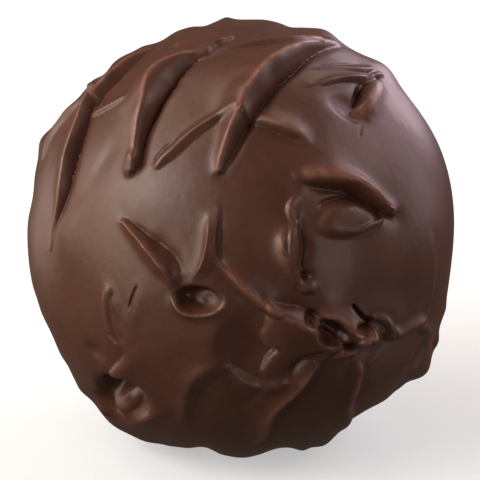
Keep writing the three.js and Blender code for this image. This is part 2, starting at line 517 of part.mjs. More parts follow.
// The fold's height above the ball on its soft side and on its wall's side.
function foldSides(fold, distance, height, wall, soft) {
  const past = Math.hypot(distance, fold.blunt) - fold.blunt;
  const flare = height * Math.exp(-((past / soft) ** SOFT_POWER));
  const crease = fold.hollow * height;
  if (past < wall) return [flare, height - (height + crease) * (past / wall) ** fold.bow];
  return [flare, -crease * Math.exp(-(((past - wall) / fold.back) ** CREASE_POWER))];
}

function pullFold(fold, point, change) {
  const [highest, widestWall, widestSoft] = fold.most;
  const reach = Math.max(SOFT_REACH * widestSoft, widestWall + CREASE_REACH * fold.back);
  if (point.distanceTo(fold.middle) > fold.size + reach) return;
  const { distance, side, rightHand, measures } = nearestOn(fold, point);
  const [fullHeight, wall, soft] = measures;
  const height = fullHeight * (1 + fold.ragged * unevenness(point, RAGGED_LENGTH, fold.draw));
  const [flare, steep] = foldSides(fold, distance, height, wall, soft);
  const onWall = gentleStep(WALL_BLEND, side - WALL_STARTS);
  change.height += flare + (steep - flare) * onWall;

  const lean = fold.lean * (height / highest) * Math.exp(-((distance / CREST_HALF_WIDTH) ** 2));
  change.shift.addScaledVector(rightHand, lean);
  const toCrease = side > 0 ? Math.abs(distance - wall) : Infinity;
  change.near = Math.min(change.near, distance, toCrease);
}

function pressGroove(groove, point, change) {
  if (point.distanceTo(groove.middle) > groove.size + GROOVE_REACH * groove.width) return;
  const { distance, place } = nearestOn(groove, point);
  const strength = gentleStep(GROOVE_ENDS, place) * gentleStep(GROOVE_ENDS, 1 - place);
  change.height -= groove.depth * strength * Math.exp(-((distance / groove.width) ** 2));
  change.near = Math.min(change.near, distance);
}

function addLump(lump, point, change) {
  const [across, along] = lump.widths;
  const offset = new THREE.Vector3().subVectors(point, lump.middle);
  const ring = Math.hypot(offset.dot(lump.acrossAxis) / across, offset.dot(lump.alongAxis) / along);
  if (ring > LUMP_REACH || offset.length() > BALL_RADIUS) return;
  change.height += lump.height * Math.exp(-(ring ** lump.edge));
  change.near = Math.min(change.near, Math.abs(ring - 1) * Math.min(across, along) + CREST_BAND);
}

// Gives a lump its middle on the ball and its own two axes there.
function placedLump(lump, middle) {
  const outward = middle.clone().normalize();
  const level = right.clone().addScaledVector(outward, -right.dot(outward)).normalize();
  const turn = THREE.MathUtils.degToRad(lump.turn ?? 0);
  const acrossAxis = level.clone().applyAxisAngle(outward, turn);
  const alongAxis = outward.clone().cross(acrossAxis);
  return { ...LUMP, ...lump, middle, acrossAxis, alongAxis };
}

function showFolds() {
  return Object.values(SHOW_FOLDS).map((fold, index) => ({
    ...FOLD,
    ...fold,
    draw: index,
    ...route(fold.rows.map((row) => onFace(row)), fold.rows.map((row) => row.slice(2))),
  }));
}

function showGrooves() {
  return Object.values(SHOW_GROOVES).map((groove) => ({
    ...groove, ...route(groove.line.map((place) => onFace(place))),
  }));
}

function rimLumps() {
  return RIM_LUMPS.map(([clock, height, width]) => {
    const angle = THREE.MathUtils.degToRad(clock);
    const rim = [BALL_RADIUS * Math.cos(angle), BALL_RADIUS * Math.sin(angle)];
    const lump = placedLump({ height, widths: [width, RIM_DEPTH] }, onFace(rim, 0));
    lump.alongAxis = toward.clone();
    lump.acrossAxis = toward.clone().cross(lump.middle).normalize();
    return lump;
  });
}

// A fold of the far side runs through its middle on a heading of its own, and bends as it goes.
function backFold(index) {
  const share = (index + 0.5) / BACK_FOLDS;
  const depth = BACK_START + (BACK_END - BACK_START) * share;
  const round = Math.sqrt(1 - depth * depth);
  const turn = index * GOLDEN_ANGLE;
  const middle = onFace(
    [BALL_RADIUS * round * Math.cos(turn), BALL_RADIUS * round * Math.sin(turn)],
    BALL_RADIUS * depth,
  );
  const outward = middle.clone().normalize();
  const heading = toward.clone().cross(outward).normalize();
  heading.applyAxisAngle(outward, 2 * Math.PI * chance(index, 1));
  const length = chanceBetween(BACK_LENGTH, index, 2);
  const bend = BACK_BEND * (2 * chance(index, 3) - 1);
  const height = chanceBetween(BACK_HEIGHT, index, 4);
  const soft = chanceBetween(BACK_SOFT, index, 5);
  const wall = chanceBetween(BACK_WALL, index, 6);
  const places = BACK_ROWS.map(([along]) => {
    const way = heading.clone().applyAxisAngle(outward, (bend * along) / 2);
    return middle.clone().addScaledVector(way, (along * length) / 2).setLength(BALL_RADIUS);
  });
  const measures = BACK_ROWS.map(([, high, wide]) => [high * height, wide * wall, wide * soft]);
  const [lean, hollow] = [BACK_LEAN * height, BACK_HOLLOW];
  return { ...FOLD, lean, hollow, draw: 100 + index, ...route(places, measures) };
}

function footLobe(index) {
  const turn = (Math.PI * (index + FOOT_LOBE_STRAY * chance(index, 7))) / FOOT_LOBES;
  const round = Math.sqrt(1 - FOOT_LOBE_DROP ** 2);
  const middle = new THREE.Vector3(round * Math.cos(turn), round * Math.sin(turn), -FOOT_LOBE_DROP);
  const size = chanceBetween(FOOT_LOBE_SIZE, index, 8);
  const height = chanceBetween(FOOT_LOBE_HEIGHT, index, 9);
  return placedLump({ height, widths: [size, FOOT_LOBE_FLATNESS * size] }, middle.setLength(BALL_RADIUS));
}

function repeated(count, make) {
  return Array.from({ length: count }, (_, index) => make(index));
}

const folds = [...showFolds(), ...repeated(BACK_FOLDS, backFold)];
const grooves = showGrooves();
const lumps = [
  ...Object.values(SHOW_LUMPS).map((lump) => placedLump(lump, onFace(lump.at))),
  ...rimLumps(),
  ...repeated(FOOT_LOBES, footLobe),
];

// Where the chocolate's surface is in one direction from the ball's middle, and how near that is to a
// crest, a groove or a wall.
function surface(direction) {
  const point = direction.clone().setLength(BALL_RADIUS);
  const change = { height: 0, shift: new THREE.Vector3(), near: Infinity };
  SWELLS.forEach(([height, length], index) => {
    change.height += height * unevenness(point, length, 200 + index);
  });
  folds.forEach((fold) => pullFold(fold, point, change));
  grooves.forEach((groove) => pressGroove(groove, point, change));
  lumps.forEach((lump) => addLump(lump, point, change));
  const place = point.clone().setLength(BALL_RADIUS + change.height).add(change.shift);
  return { direction, place, near: change.near };
}

function longestEdge(near) {
  const grown = CREST_EDGE + EDGE_GROWTH * Math.max(0, near - CREST_BAND);
  return Math.min(SMOOTH_EDGE, grown);
}

// Splits a triangle whose sides ab, bc and ca may each have a middle vertex.
function splitTriangle([a, b, c], [ab, bc, ca]) {
  const cuts = [ab, bc, ca].filter((middle) => middle !== undefined).length;
  if (cuts === 0) return [[a, b, c]];
  if (cuts === 3) return [[a, ab, ca], [ab, b, bc], [ca, bc, c], [ab, bc, ca]];
  if (cuts === 1 && ab !== undefined) return [[a, ab, c], [ab, b, c]];
  if (cuts === 2 && ca === undefined) return [[ab, b, bc], [a, ab, bc], [a, bc, c]];
  return splitTriangle([b, c, a], [bc, ca, ab]);
}

// Splits the sides for which newPoint gives a point, so that neighbours still meet side to side.
function splitSides(points, triangles, newPoint) {
  const middles = new Map();
  const middleOf = (from, to) => {
    const key = from < to ? `${from} ${to}` : `${to} ${from}`;
    if (!middles.has(key)) {
      const added = newPoint(from, to);
      middles.set(key, added ? points.push(added) - 1 : undefined);
    }
    return middles.get(key);
  };
  return triangles.flatMap(([a, b, c]) =>
    splitTriangle([a, b, c], [middleOf(a, b), middleOf(b, c), middleOf(c, a)]));
}

// Halves every side that is too long for where it lies.
function refineOnce(points, triangles) {
  return splitSides(points, triangles, (from, to) => {
    const [first, second] = [points[from], points[to]];
    const allowed = longestEdge(Math.min(first.near, second.near));
    if (first.place.distanceTo(second.place) <= allowed) return null;
    return surface(first.direction.clone().add(second.direction).normalize());
  });
}

// How far a direction's point lies to the right of a fold's crest, or of its crease, and null where it
// is too far off or beyond the ends.
function besideLine(fold, direction, atCrease) {
  const point = direction.clone().setLength(BALL_RADIUS);
  if (point.distanceTo(fold.middle) > fold.size + SMOOTH_EDGE) return null;
  const { distance, side, rightHand, place, measures } = nearestOn(fold, point);
  if (distance > SMOOTH_EDGE || place <= 0 || place >= 1) return null;
  return { beside: distance * side - (atCrease ? measures[1] : 0), rightHand };
}

function movedOntoLine(fold, direction, atCrease) {
  const found = besideLine(fold, direction, atCrease);
  if (!found) return direction.clone();
  const point = direction.clone().setLength(BALL_RADIUS);
  return point.addScaledVector(found.rightHand, -found.beside).normalize();
}

// Makes sides of triangles run along a line: corners close to it are moved onto it, and the sides that
// still cross it are split there. A corner that is on an earlier line stays.
function layAlong(points, triangles, fold, atCrease) {
  const beside = points.map(({ direction }) => besideLine(fold, direction, atCrease)?.beside);
  const crossing = (from, to) => beside[from] * beside[to] < 0;
  const shareOf = (from, to) => beside[from] / (beside[from] - beside[to]);
  const close = new Set();
  triangles.forEach(([a, b, c]) => [[a, b], [b, c], [c, a]].forEach(([from, to]) => {
    if (!crossing(from, to)) return;
    const share = shareOf(from, to);
    if (share < SNAP_SHARE) close.add(from);
    if (share > 1 - SNAP_SHARE) close.add(to);
  }));
  close.forEach((corner) => {
    if (!points[corner].onLine) {
      const direction = movedOntoLine(fold, points[corner].direction, atCrease);
      points[corner] = { ...surface(direction), onLine: true };
    }
    beside[corner] = 0;
  });
  return splitSides(points, triangles, (from, to) => {
    if (!crossing(from, to)) return null;
    const [first, second] = [points[from].direction, points[to].direction];
    const between = first.clone().lerp(second, shareOf(from, to)).normalize();
    return { ...surface(movedOntoLine(fold, between, atCrease)), onLine: true };
  });
}

function truffleGeometry() {
  const start = new THREE.IcosahedronGeometry(1, FIRST_CUTS);
  start.deleteAttribute("normal");
  start.deleteAttribute("uv");
  const ball = mergeVertices(start);
  const corner = ball.attributes.position;
  const points = repeated(corner.count, (index) =>
    surface(new THREE.Vector3().fromBufferAttribute(corner, index)));
  let triangles = repeated(ball.index.count / 3, (index) =>
    [0, 1, 2].map((side) => ball.index.getX(3 * index + side)));
  for (let pass = 0; pass < REFINING_PASSES; pass += 1) {
    triangles = refineOnce(points, triangles);
  }
  folds.filter((fold) => fold.most[0] >= LOWEST_LAID).forEach((fold) => {
    [false, true].forEach((atCrease) => {
      triangles = layAlong(points, triangles, fold, atCrease);
    });
  });

  // The foot is flat, and the origin goes under the middle of the outline.
  const places = points.map(({ place }) => place.setZ(Math.max(place.z, -FOOT_DROP)));
  const geometry = new THREE.BufferGeometry().setFromPoints(places);
  geometry.setIndex(triangles.flat());
  geometry.computeBoundingBox();
  const middle = geometry.boundingBox.getCenter(new THREE.Vector3());
  geometry.translate(-middle.x, -middle.y, FOOT_DROP);
  geometry.computeVertexNormals();
  return geometry;
}

const chocolate = new THREE.MeshStandardMaterial({ color: "#3b241b", roughness: 0.42, metalness: 0 });

const truffle = new THREE.Mesh(truffleGeometry(), chocolate);
truffle.name = "truffle";

const model = new THREE.Group();
model.name = "chocolate truffle";
model.add(truffle);

export default model;
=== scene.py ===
import math

import bpy
import numpy as np
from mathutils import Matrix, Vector


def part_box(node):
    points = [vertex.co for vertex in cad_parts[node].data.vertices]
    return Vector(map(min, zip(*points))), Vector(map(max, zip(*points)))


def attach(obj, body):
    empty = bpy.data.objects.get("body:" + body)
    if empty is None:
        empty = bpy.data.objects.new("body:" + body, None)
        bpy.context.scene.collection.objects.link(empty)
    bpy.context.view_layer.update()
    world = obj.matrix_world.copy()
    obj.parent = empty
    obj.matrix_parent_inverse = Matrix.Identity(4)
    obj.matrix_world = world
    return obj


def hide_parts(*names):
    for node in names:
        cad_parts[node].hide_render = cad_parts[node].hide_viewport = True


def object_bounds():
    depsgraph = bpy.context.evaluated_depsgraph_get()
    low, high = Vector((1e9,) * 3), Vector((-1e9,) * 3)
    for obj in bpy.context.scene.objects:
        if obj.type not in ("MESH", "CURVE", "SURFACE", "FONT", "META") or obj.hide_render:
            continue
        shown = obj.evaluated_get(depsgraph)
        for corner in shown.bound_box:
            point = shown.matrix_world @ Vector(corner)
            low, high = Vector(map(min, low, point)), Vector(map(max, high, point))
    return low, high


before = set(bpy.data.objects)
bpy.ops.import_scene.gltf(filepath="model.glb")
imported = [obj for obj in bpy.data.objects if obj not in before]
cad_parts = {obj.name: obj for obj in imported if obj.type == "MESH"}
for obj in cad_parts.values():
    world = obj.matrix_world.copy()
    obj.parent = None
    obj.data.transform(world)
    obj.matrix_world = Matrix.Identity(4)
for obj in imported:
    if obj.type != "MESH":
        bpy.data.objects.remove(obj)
CAD_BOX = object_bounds()

bl_info = {
    "name": "Chocolate truffle",
    "version": (1, 0, 0),
    "blender": (4, 5, 0),
    "location": "3D View > Sidebar > Truffle",
    "description": "A hand-finished dark chocolate truffle with folded coating, and its stage",
    "category": "Mesh",
}

# ---------------------------------------------------------------- sizes
# Everything is worked out in millimetres on a ball and moved to metres at the end.
MM = 0.001
BALL_RADIUS = 15.27
FOOT_DROP = 14.45            # from the ball's middle down to the flat foot
FACE_LEAN = math.radians(20)  # how far the show face looks up
LINE_STEPS = 40              # straight steps along a fold's line
LEAST_MEASURE = 0.02         # no fold's height, wall or soft side gets less on the way
GOLDEN_TURN = math.pi * (3 - math.sqrt(5))

# Broad swells that keep the ball from being perfectly round: height, length, draw.
SWELLS = [(0.10, 14, 200), (0.05, 6, 201)]

# A fold has rows of (across, up, height, wall, soft) in millimetres. Across and up place its
# crest on the show face, wall is the width of the steep side on the crest's right hand, and
# soft is how far the gentle side runs out. The rest is one value a fold:
#   bow     how long the wall stays high before it drops
#   hollow  depth of the crease at the wall's foot, as a share of the height
#   lean    how far the crest hangs over the wall
#   blunt   radius of the rounded crest
#   back    how far the crease takes to come up again
#   ragged  how unevenly the crest runs
#   thin    half the width of the band along its crest where the coating is thin and redder and is lightened as a painted highlight
FOLD = dict(bow=1.3, hollow=0.15, lean=0.1, blunt=0.12, back=0.35, ragged=0.10, thin=0.18)
FULLY_THIN_AND_HIGHLIT = 0.5             # folds at least this high are thinly coated along their crests and get the full painted highlight there
RAGGED_LENGTH = 1.6          # how long the unevenness of a crest is
CREST_HALF_WIDTH = 0.38      # the width of what leans over the wall
SOFT_POWER = 1.2             # how the gentle side dies away
CREASE_POWER = 1.3           # and how the crease does
WALL_STARTS = -0.6           # how squarely to the right of its line a fold's wall begins
WALL_BLEND = 1.2             # and over how much of that it takes over from the gentle side
GROOVE_ENDS = 0.3            # the share of a groove over which each end fades

CREASE_MARGIN = 0.12         # a crease counts as this much further off than a crest
PIT_MARGIN = 0.1             # and the edge of a steep lump as this much
BUMP_MARGIN = 0.25           # and that of a round one as this much
STEEP_EDGE = 3               # lumps with at least this edge are steep
FAR_OFF = 9.0

# How far each kind of relief is worked out, in its own widths: beyond that it is too faint.
SOFT_REACH = 3.2
CREASE_REACH = 3
GROOVE_REACH = 4
LUMP_REACH = 3

SHOW_FOLDS = {
    "curl": dict(rows=[
        (-1.57, 4.64, 0.26, 0.34, 0.22), (-1.44, 5.47, 0.55, 0.62, 0.24), (-1, 6.79, 0.85, 0.79, 0.28),
        (-0.51, 7.91, 1.1, 0.91, 0.5), (-0.03, 9.01, 1.3, 1.07, 1.1), (0.7, 10.1, 1.45, 1.13, 1.5),
        (1.46, 11.05, 1.45, 1.11, 1.6), (2.63, 11.93, 1.3, 0.99, 1.3), (3.97, 12.83, 0.9, 0.69, 1),
        (5.12, 13.28, 0.45, 0.48, 0.7), (6.34, 13.52, 0.1, 0.45, 0.4),
    ], bow=2, hollow=0.4, lean=0.18, back=0.26),
    "blade": dict(rows=[
        (-7.36, 4.61, 0.24, 0.22, 0.3), (-7.22, 5.24, 0.5, 0.35, 0.42),
        (-7.16, 6.32, 0.65, 0.45, 0.55), (-6.91, 7.53, 0.85, 0.58, 0.8), (-6.59, 8.7, 1.05, 0.86, 1.1),
        (-6.38, 9.66, 1.15, 1.22, 1.3), (-5.94, 10.73, 1.15, 1.51, 1.3), (-4.96, 11.63, 0.95, 1.16, 1),
        (-3.86, 12.28, 0.6, 0.81, 0.8), (-2.63, 12.66, 0.12, 0.53, 0.5),
    ], bow=2.3, hollow=0.6, lean=0.15, back=0.24),
    "long_thin": dict(rows=[
        (-5.69, 4.93, 0.2, 0.28, 0.26), (-5.26, 5.41, 0.3, 0.42, 0.3), (-4.59, 5.99, 0.32, 0.5, 0.3),
        (-3.74, 6.79, 0.31, 0.45, 0.3), (-2.75, 7.52, 0.3, 0.36, 0.3), (-1.62, 8.22, 0.28, 0.34, 0.3),
        (-0.69, 8.51, 0.22, 0.3, 0.3), (-0.37, 8.62, 0.08, 0.2, 0.2),
    ], bow=1.2, hollow=0.1, lean=0.04, blunt=0.14, thin=0.05),
    "left_crest": dict(rows=[
        (-13.07, -0.65, 0.04, 0.2, 0.3), (-12.86, 0.65, 0.12, 0.2, 0.4),
        (-12.47, 1.86, 0.33, 0.17, 0.5), (-12.08, 3.12, 0.66, 0.2, 0.8),
        (-11.75, 4.47, 0.84, 0.23, 0.95), (-11.46, 5.8, 0.9, 0.42, 1), (-11.11, 6.82, 0.9, 0.34, 0.9),
        (-10.82, 7.75, 0.85, 0.38, 0.7), (-10.45, 8.66, 0.8, 0.16, 0.5), (-10.04, 9.3, 0.6, 0.2, 0.4),
    ], bow=1.1, hollow=0.35, lean=0.2, back=0.2),
    "left_branch": dict(rows=[
        (-10.49, 8.14, 0.1, 0.14, 0.2), (-9.84, 8.5, 0.2, 0.16, 0.2), (-9.05, 8.87, 0.2, 0.16, 0.2),
        (-8.28, 9.22, 0.15, 0.14, 0.2), (-7.64, 9.51, 0.04, 0.14, 0.2),
    ], bow=1.2, hollow=0.05, lean=0, back=0.2),
    "upper_rim": dict(rows=[
        (-9.97, 9.28, 0.5, 0.3, 0.5), (-9.6, 10.15, 0.7, 0.72, 0.5), (-8.86, 10.88, 0.7, 0.54, 0.6),
        (-8.16, 11.65, 0.6, 0.61, 0.6), (-7.32, 12.42, 0.4, 0.46, 0.5), (-6.37, 13.19, 0.12, 0.4, 0.4),
    ], bow=1.4, hollow=0.35, back=0.4),
    "corner_rim": dict(rows=[
        (-13.59, 5.97, 0.15, 0.5, 0.5), (-12.98, 7.2, 0.3, 0.5, 0.6), (-12.18, 8.38, 0.35, 0.5, 0.6),
        (-11.34, 9.28, 0.3, 0.5, 0.5), (-10.9, 9.86, 0.2, 0.4, 0.4),
    ], bow=1.5, hollow=0.05, back=0.3, thin=0),
    "small_roll": dict(rows=[
        (-2.55, 12.56, 0.15, 0.3, 0.3), (-2.09, 13.12, 0.32, 0.35, 0.32),
        (-1.55, 13.38, 0.36, 0.35, 0.32), (-0.97, 13.66, 0.2, 0.3, 0.3),
    ], bow=2, hollow=0.1, lean=0, blunt=0.22, back=0.3, thin=0),
    "top_arc": dict(rows=[
        (-2.64, 12.38, 0.1, 0.5, 0.5), (-1.36, 12.78, 0.2, 0.5, 0.5), (-0.02, 13.08, 0.3, 0.55, 0.55),
        (1.5, 13.22, 0.4, 0.6, 0.6), (3.25, 13.26, 0.42, 0.6, 0.6), (5.03, 13.49, 0.2, 0.5, 0.5),
    ], hollow=0.12, lean=0, blunt=0.1, back=0.5, thin=0),
    "right_branch": dict(rows=[
        (0.37, 8.11, 0.2, 0.3, 0.4), (1.31, 7.99, 0.34, 0.4, 0.7), (2.34, 7.62, 0.56, 0.42, 0.8),
        (3.25, 7.21, 0.62, 0.42, 0.7), (3.92, 6.92, 0.5, 0.35, 0.45), (4.45, 6.43, 0.14, 0.2, 0.2),
    ], bow=1.2, hollow=0.25, blunt=0.14, back=0.4),
    "shoulder_a": dict(rows=[
        (4.6, 11.6, 0.03, 0.2, 0.5), (5.8, 11.64, 0.1, 0.22, 0.5), (7.25, 11.56, 0.2, 0.24, 0.4),
        (8.3, 11.48, 0.28, 0.24, 0.3), (8.95, 11.63, 0.12, 0.2, 0.3),
    ], bow=1.2, hollow=0.05, lean=0.05, blunt=0.08, back=0.25, thin=0),
    "shoulder_b": dict(rows=[
        (4.69, 10.35, 0.08, 0.3, 0.3), (5.51, 10.53, 0.26, 0.3, 0.28), (6.35, 10.75, 0.36, 0.3, 0.26),
        (7.24, 10.83, 0.42, 0.3, 0.26), (8.27, 10.9, 0.42, 0.3, 0.26), (9.04, 11.12, 0.32, 0.28, 0.25),
        (9.57, 11.21, 0.12, 0.25, 0.2),
    ], bow=1.2, hollow=0.05, lean=0.05, blunt=0.07, thin=0),
    "strap": dict(rows=[
        (9.43, 10.28, 0.3, 0.99, 0.45), (9.06, 9.45, 0.46, 0.94, 0.5), (8.52, 8.72, 0.42, 0.79, 0.45),
        (8.16, 8.46, 0.12, 0.48, 0.35),
    ], bow=2.2, hollow=0.8, blunt=0.2, back=0.3, thin=0.4),
    "ear_rim": dict(rows=[
        (4.04, 4.39, 0.15, 0.64, 0.9), (4.92, 4.36, 0.5, 0.71, 0.9), (6.03, 4.28, 0.72, 0.77, 0.8),
        (7.07, 4.08, 0.85, 0.69, 0.5), (7.98, 3.75, 0.95, 0.68, 0.3), (8.77, 3.16, 0.95, 0.63, 0.26),
        (9.4, 2.55, 0.85, 0.5, 0.24), (10.11, 2.15, 0.4, 0.64, 0.2),
    ], bow=2.6, hollow=0.7, lean=0.2, blunt=0.2, back=0.6, thin=0.4),
    "ear_edge": dict(rows=[
        (9.84, 1.88, 0.3, 0.2, 0.2), (9.31, 1.11, 0.25, 0.25, 0.2), (8.17, 0.56, 0.18, 0.25, 0.2),
        (7.39, 0.23, 0.04, 0.2, 0.2),
    ], bow=1.6, hollow=0, lean=0, blunt=0.1, back=0.3, thin=0),
    "ear_root": dict(rows=[
        (3.94, 2.79, 0.05, 0.3, 0.3), (3.49, 2.22, 0.24, 0.35, 0.3), (3.42, 1.69, 0.24, 0.35, 0.3),
        (3.71, 1.17, 0.05, 0.3, 0.3),
    ], bow=2, hollow=0.1, lean=0, blunt=0.18),
    "lip": dict(rows=[
        (3.61, -2.82, 0.2, 0.49, 0.3), (3.27, -2, 0.45, 0.63, 0.35), (3.1, -0.94, 0.6, 0.93, 0.4),
        (3.18, -0.02, 0.55, 0.86, 0.4), (3.54, 0.9, 0.2, 0.33, 0.3),
    ], bow=1.9, hollow=0.65, lean=0.05, back=0.4, thin=0),
    "lip_outer": dict(rows=[
        (2.99, -2.14, 0.05, 0.2, 0.4), (2.7, -1.34, 0.22, 0.25, 0.4), (2.57, -0.42, 0.28, 0.25, 0.4),
        (2.76, 0.5, 0.08, 0.2, 0.4),
    ], bow=2, hollow=0.1, lean=0, blunt=0.14, back=0.25, thin=0.25),
    "long_fold": dict(rows=[
        (6.65, -7.31, 0.4, 0.59, 1), (6.53, -7.06, 0.66, 0.68, 1.1), (5.98, -6.91, 0.78, 0.88, 1.3),
        (4.8, -6.19, 0.82, 0.88, 1.4), (3.87, -5.72, 0.8, 0.91, 1.3), (3, -5.29, 0.7, 0.78, 1),
        (2.2, -4.83, 0.4, 0.45, 0.7), (1.55, -4.49, 0.08, 0.4, 0.5),
    ], bow=1.6, hollow=0.3, lean=0.12, blunt=0.1, back=0.45),
    "long_slope": dict(rows=[
        (-1.43, -1.57, 0.04, 0.25, 0.5), (-0.81, -2.33, 0.3, 0.34, 0.7),
        (-0.08, -3.09, 0.52, 0.42, 0.8), (0.7, -3.87, 0.58, 0.44, 0.8), (1.48, -4.52, 0.5, 0.42, 0.8),
        (2.33, -4.96, 0.2, 0.4, 0.8),
    ], bow=1.2, hollow=0.35, lean=0, blunt=0.1, back=0.6, thin=0.3),
    "curl_rim": dict(rows=[
        (5.23, -5.31, 0.3, 0.52, 0.6), (5.91, -5.19, 0.66, 1.15, 0.8), (6.68, -5.46, 0.85, 1.35, 0.7),
        (7.29, -5.87, 0.9, 1.3, 0.5), (7.97, -6.28, 0.9, 1.04, 0.3), (8.25, -6.24, 0.8, 1.19, 0.25),
        (9.04, -6.63, 0.4, 0.85, 0.22),
    ], bow=2.6, hollow=0.45, lean=0.15, blunt=0.18, back=0.3, thin=0.34),
    "curl_lip": dict(rows=[
        (8.66, -6.26, 0.45, 0.35, 0.25), (7.99, -6.83, 0.42, 0.4, 0.25), (7.6, -7.65, 0.4, 0.4, 0.25),
        (6.43, -7.79, 0.3, 0.35, 0.25), (5.92, -8.11, 0.08, 0.3, 0.3),
    ], bow=2, hollow=0.1, lean=0, blunt=0.14, back=0.3),
    "skirt_edge": dict(rows=[
        (9.28, -6.08, 0.12, 0.4, 0.3), (9.8, -6.15, 0.3, 0.4, 0.35), (10.1, -6.51, 0.44, 0.45, 0.35),
        (10.53, -6.45, 0.5, 0.5, 0.36), (11.24, -6.09, 0.52, 0.55, 0.34),
        (11.82, -5.75, 0.52, 0.6, 0.3), (12.35, -5.33, 0.4, 0.6, 0.3), (12.63, -4.61, 0.24, 0.5, 0.35),
        (12.96, -3.21, 0.18, 0.5, 0.4), (13.1, -1.67, 0.1, 0.4, 0.4), (13, -0.17, 0.04, 0.4, 0.4),
    ], bow=1.2, hollow=0.08, lean=0.05, blunt=0.14, back=0.4, thin=0),
    "knob_edge": dict(rows=[
        (11.99, -5.82, 0.08, 0.4, 0.3), (12.52, -6.17, 0.26, 0.5, 0.3), (13.09, -6.62, 0.1, 0.4, 0.3),
    ], hollow=0.1, lean=0, blunt=0.1, back=0.4, thin=0),
    "skirt_fold": dict(rows=[
        (8.62, -5.7, 0.1, 0.3, 0.3), (9.07, -5.38, 0.24, 0.3, 0.3), (9.71, -5.56, 0.28, 0.3, 0.3),
        (10.04, -5.97, 0.26, 0.25, 0.3), (10.55, -6.34, 0.05, 0.2, 0.2),
    ], bow=1.2, hollow=0.2, lean=0, back=0.3, thin=0),
    "v_left": dict(rows=[
        (-8.32, -7.38, 0.03, 0.2, 0.3), (-8.87, -6.45, 0.12, 0.25, 0.25),
        (-9.17, -5.42, 0.15, 0.3, 0.25), (-9.24, -4.33, 0.16, 0.35, 0.28),
        (-9.05, -3.51, 0.16, 0.4, 0.3), (-8.88, -3.21, 0.03, 0.3, 0.3),
    ], bow=1.1, hollow=0.1, lean=0, blunt=0.1, back=0.4, thin=0),
    "v_middle": dict(rows=[
        (-8.21, -5.45, 0.03, 0.6, 0.4), (-8.64, -4.54, 0.12, 0.7, 0.4), (-8.87, -3.72, 0.1, 0.5, 0.4),
        (-8.98, -3.27, 0.02, 0.4, 0.4),
    ], bow=0.8, hollow=0.1, lean=0, blunt=0.2, back=0.5, thin=0),
    "v_right": dict(rows=[
        (-6.75, -3.13, 0.03, 0.5, 0.5), (-6.87, -3.79, 0.08, 0.55, 0.5),
        (-7.14, -4.67, 0.09, 0.6, 0.5), (-7.5, -5.62, 0.08, 0.5, 0.5), (-7.95, -6.67, 0.02, 0.4, 0.4),
    ], bow=1, hollow=0.1, lean=0, blunt=0.3, back=0.4, thin=0),
    "v_stem": dict(rows=[
        (-7.8, -7.34, 0.08, 0.4, 0.6), (-7.5, -8.12, 0.16, 0.45, 0.7), (-7.8, -8.75, 0.24, 0.5, 0.7),
        (-8.42, -9.37, 0.3, 0.5, 0.55), (-9.05, -10.4, 0.2, 0.4, 0.4),
    ], bow=1.5, hollow=0.2, lean=0, blunt=0.25, back=0.45, thin=0),
    "peak": dict(rows=[
        (-4.78, -2.74, 0.35, 0.69, 0.3), (-4.99, -2.24, 0.85, 0.82, 0.34),
        (-5.42, -1.67, 1.15, 0.85, 0.38), (-5.91, -1.06, 1.2, 0.69, 0.38),
        (-6.53, -0.33, 1, 0.44, 0.36), (-7.16, 0.34, 0.7, 0.26, 0.32), (-7.89, 1.06, 0.3, 0.25, 0.26),
    ], bow=0.68, hollow=0.34, lean=0.16, blunt=0.06, back=1, ragged=0.25),
    "upright": dict(rows=[
        (-3.31, -2.78, 0.06, 0.5, 0.25), (-2.86, -2.13, 0.28, 0.7, 0.24),
        (-2.51, -1.33, 0.38, 0.8, 0.24), (-2.3, -0.29, 0.42, 0.8, 0.24),
        (-2.21, 0.62, 0.4, 0.75, 0.24), (-2.21, 1.29, 0.12, 0.5, 0.22),
    ], bow=0.8, hollow=0, lean=0.02, blunt=0.08, back=0.3, thin=0),
    "upright_back": dict(rows=[
        (-0.94, -2.34, 0.03, 0.15, 0.4), (-1.54, -1.75, 0.2, 0.16, 0.5),
        (-1.75, -0.95, 0.28, 0.16, 0.5), (-1.78, -0.03, 0.3, 0.16, 0.5), (-1.7, 1.02, 0.24, 0.16, 0.5),
        (-1.56, 1.97, 0.04, 0.15, 0.4),
    ], bow=1.2, hollow=0.35, lean=0, blunt=0.08, back=0.4, thin=0),
    "pocket_lip": dict(rows=[
        (-1.81, -5.13, 0.06, 0.2, 0.25), (-2.6, -5.19, 0.2, 0.2, 0.25),
        (-3.44, -5.16, 0.34, 0.22, 0.22), (-4.07, -4.87, 0.42, 0.22, 0.2),
        (-4.43, -4.34, 0.38, 0.22, 0.22), (-4.42, -3.69, 0.1, 0.2, 0.25),
    ], bow=1.8, hollow=0, lean=0, blunt=0.1, back=0.2, thin=0.12),
    "step": dict(rows=[
        (-4.04, -12.71, 0.08, 0.35, 0.5), (-3.83, -11.21, 0.26, 0.49, 0.6),
        (-3.53, -10.04, 0.34, 0.66, 0.7), (-2.92, -9.27, 0.34, 0.85, 0.7),
        (-2, -8.73, 0.24, 0.77, 0.6), (-0.83, -8.72, 0.05, 0.41, 0.5),
    ], bow=1.2, hollow=0.25, lean=0, blunt=0.18, back=0.6, thin=0),
    "bowl_ramp": dict(rows=[
        (-1.1, -9.88, 0.05, 2.15, 0.6), (-1.67, -8.63, 0.16, 3.73, 0.8),
        (-1.89, -7.38, 0.2, 4.09, 0.9), (-1.69, -6.18, 0.18, 3.62, 0.9),
        (-0.96, -5.21, 0.05, 2.31, 0.7),
    ], bow=1, hollow=3.6, lean=0, blunt=0.3, back=0.26, ragged=0.05, thin=0),
    "bowl_foot": dict(rows=[
        (3.27, -9.93, 0.1, 0.4, 0.4), (1.84, -10.19, 0.3, 0.45, 0.4), (0.38, -9.85, 0.4, 0.45, 0.26),
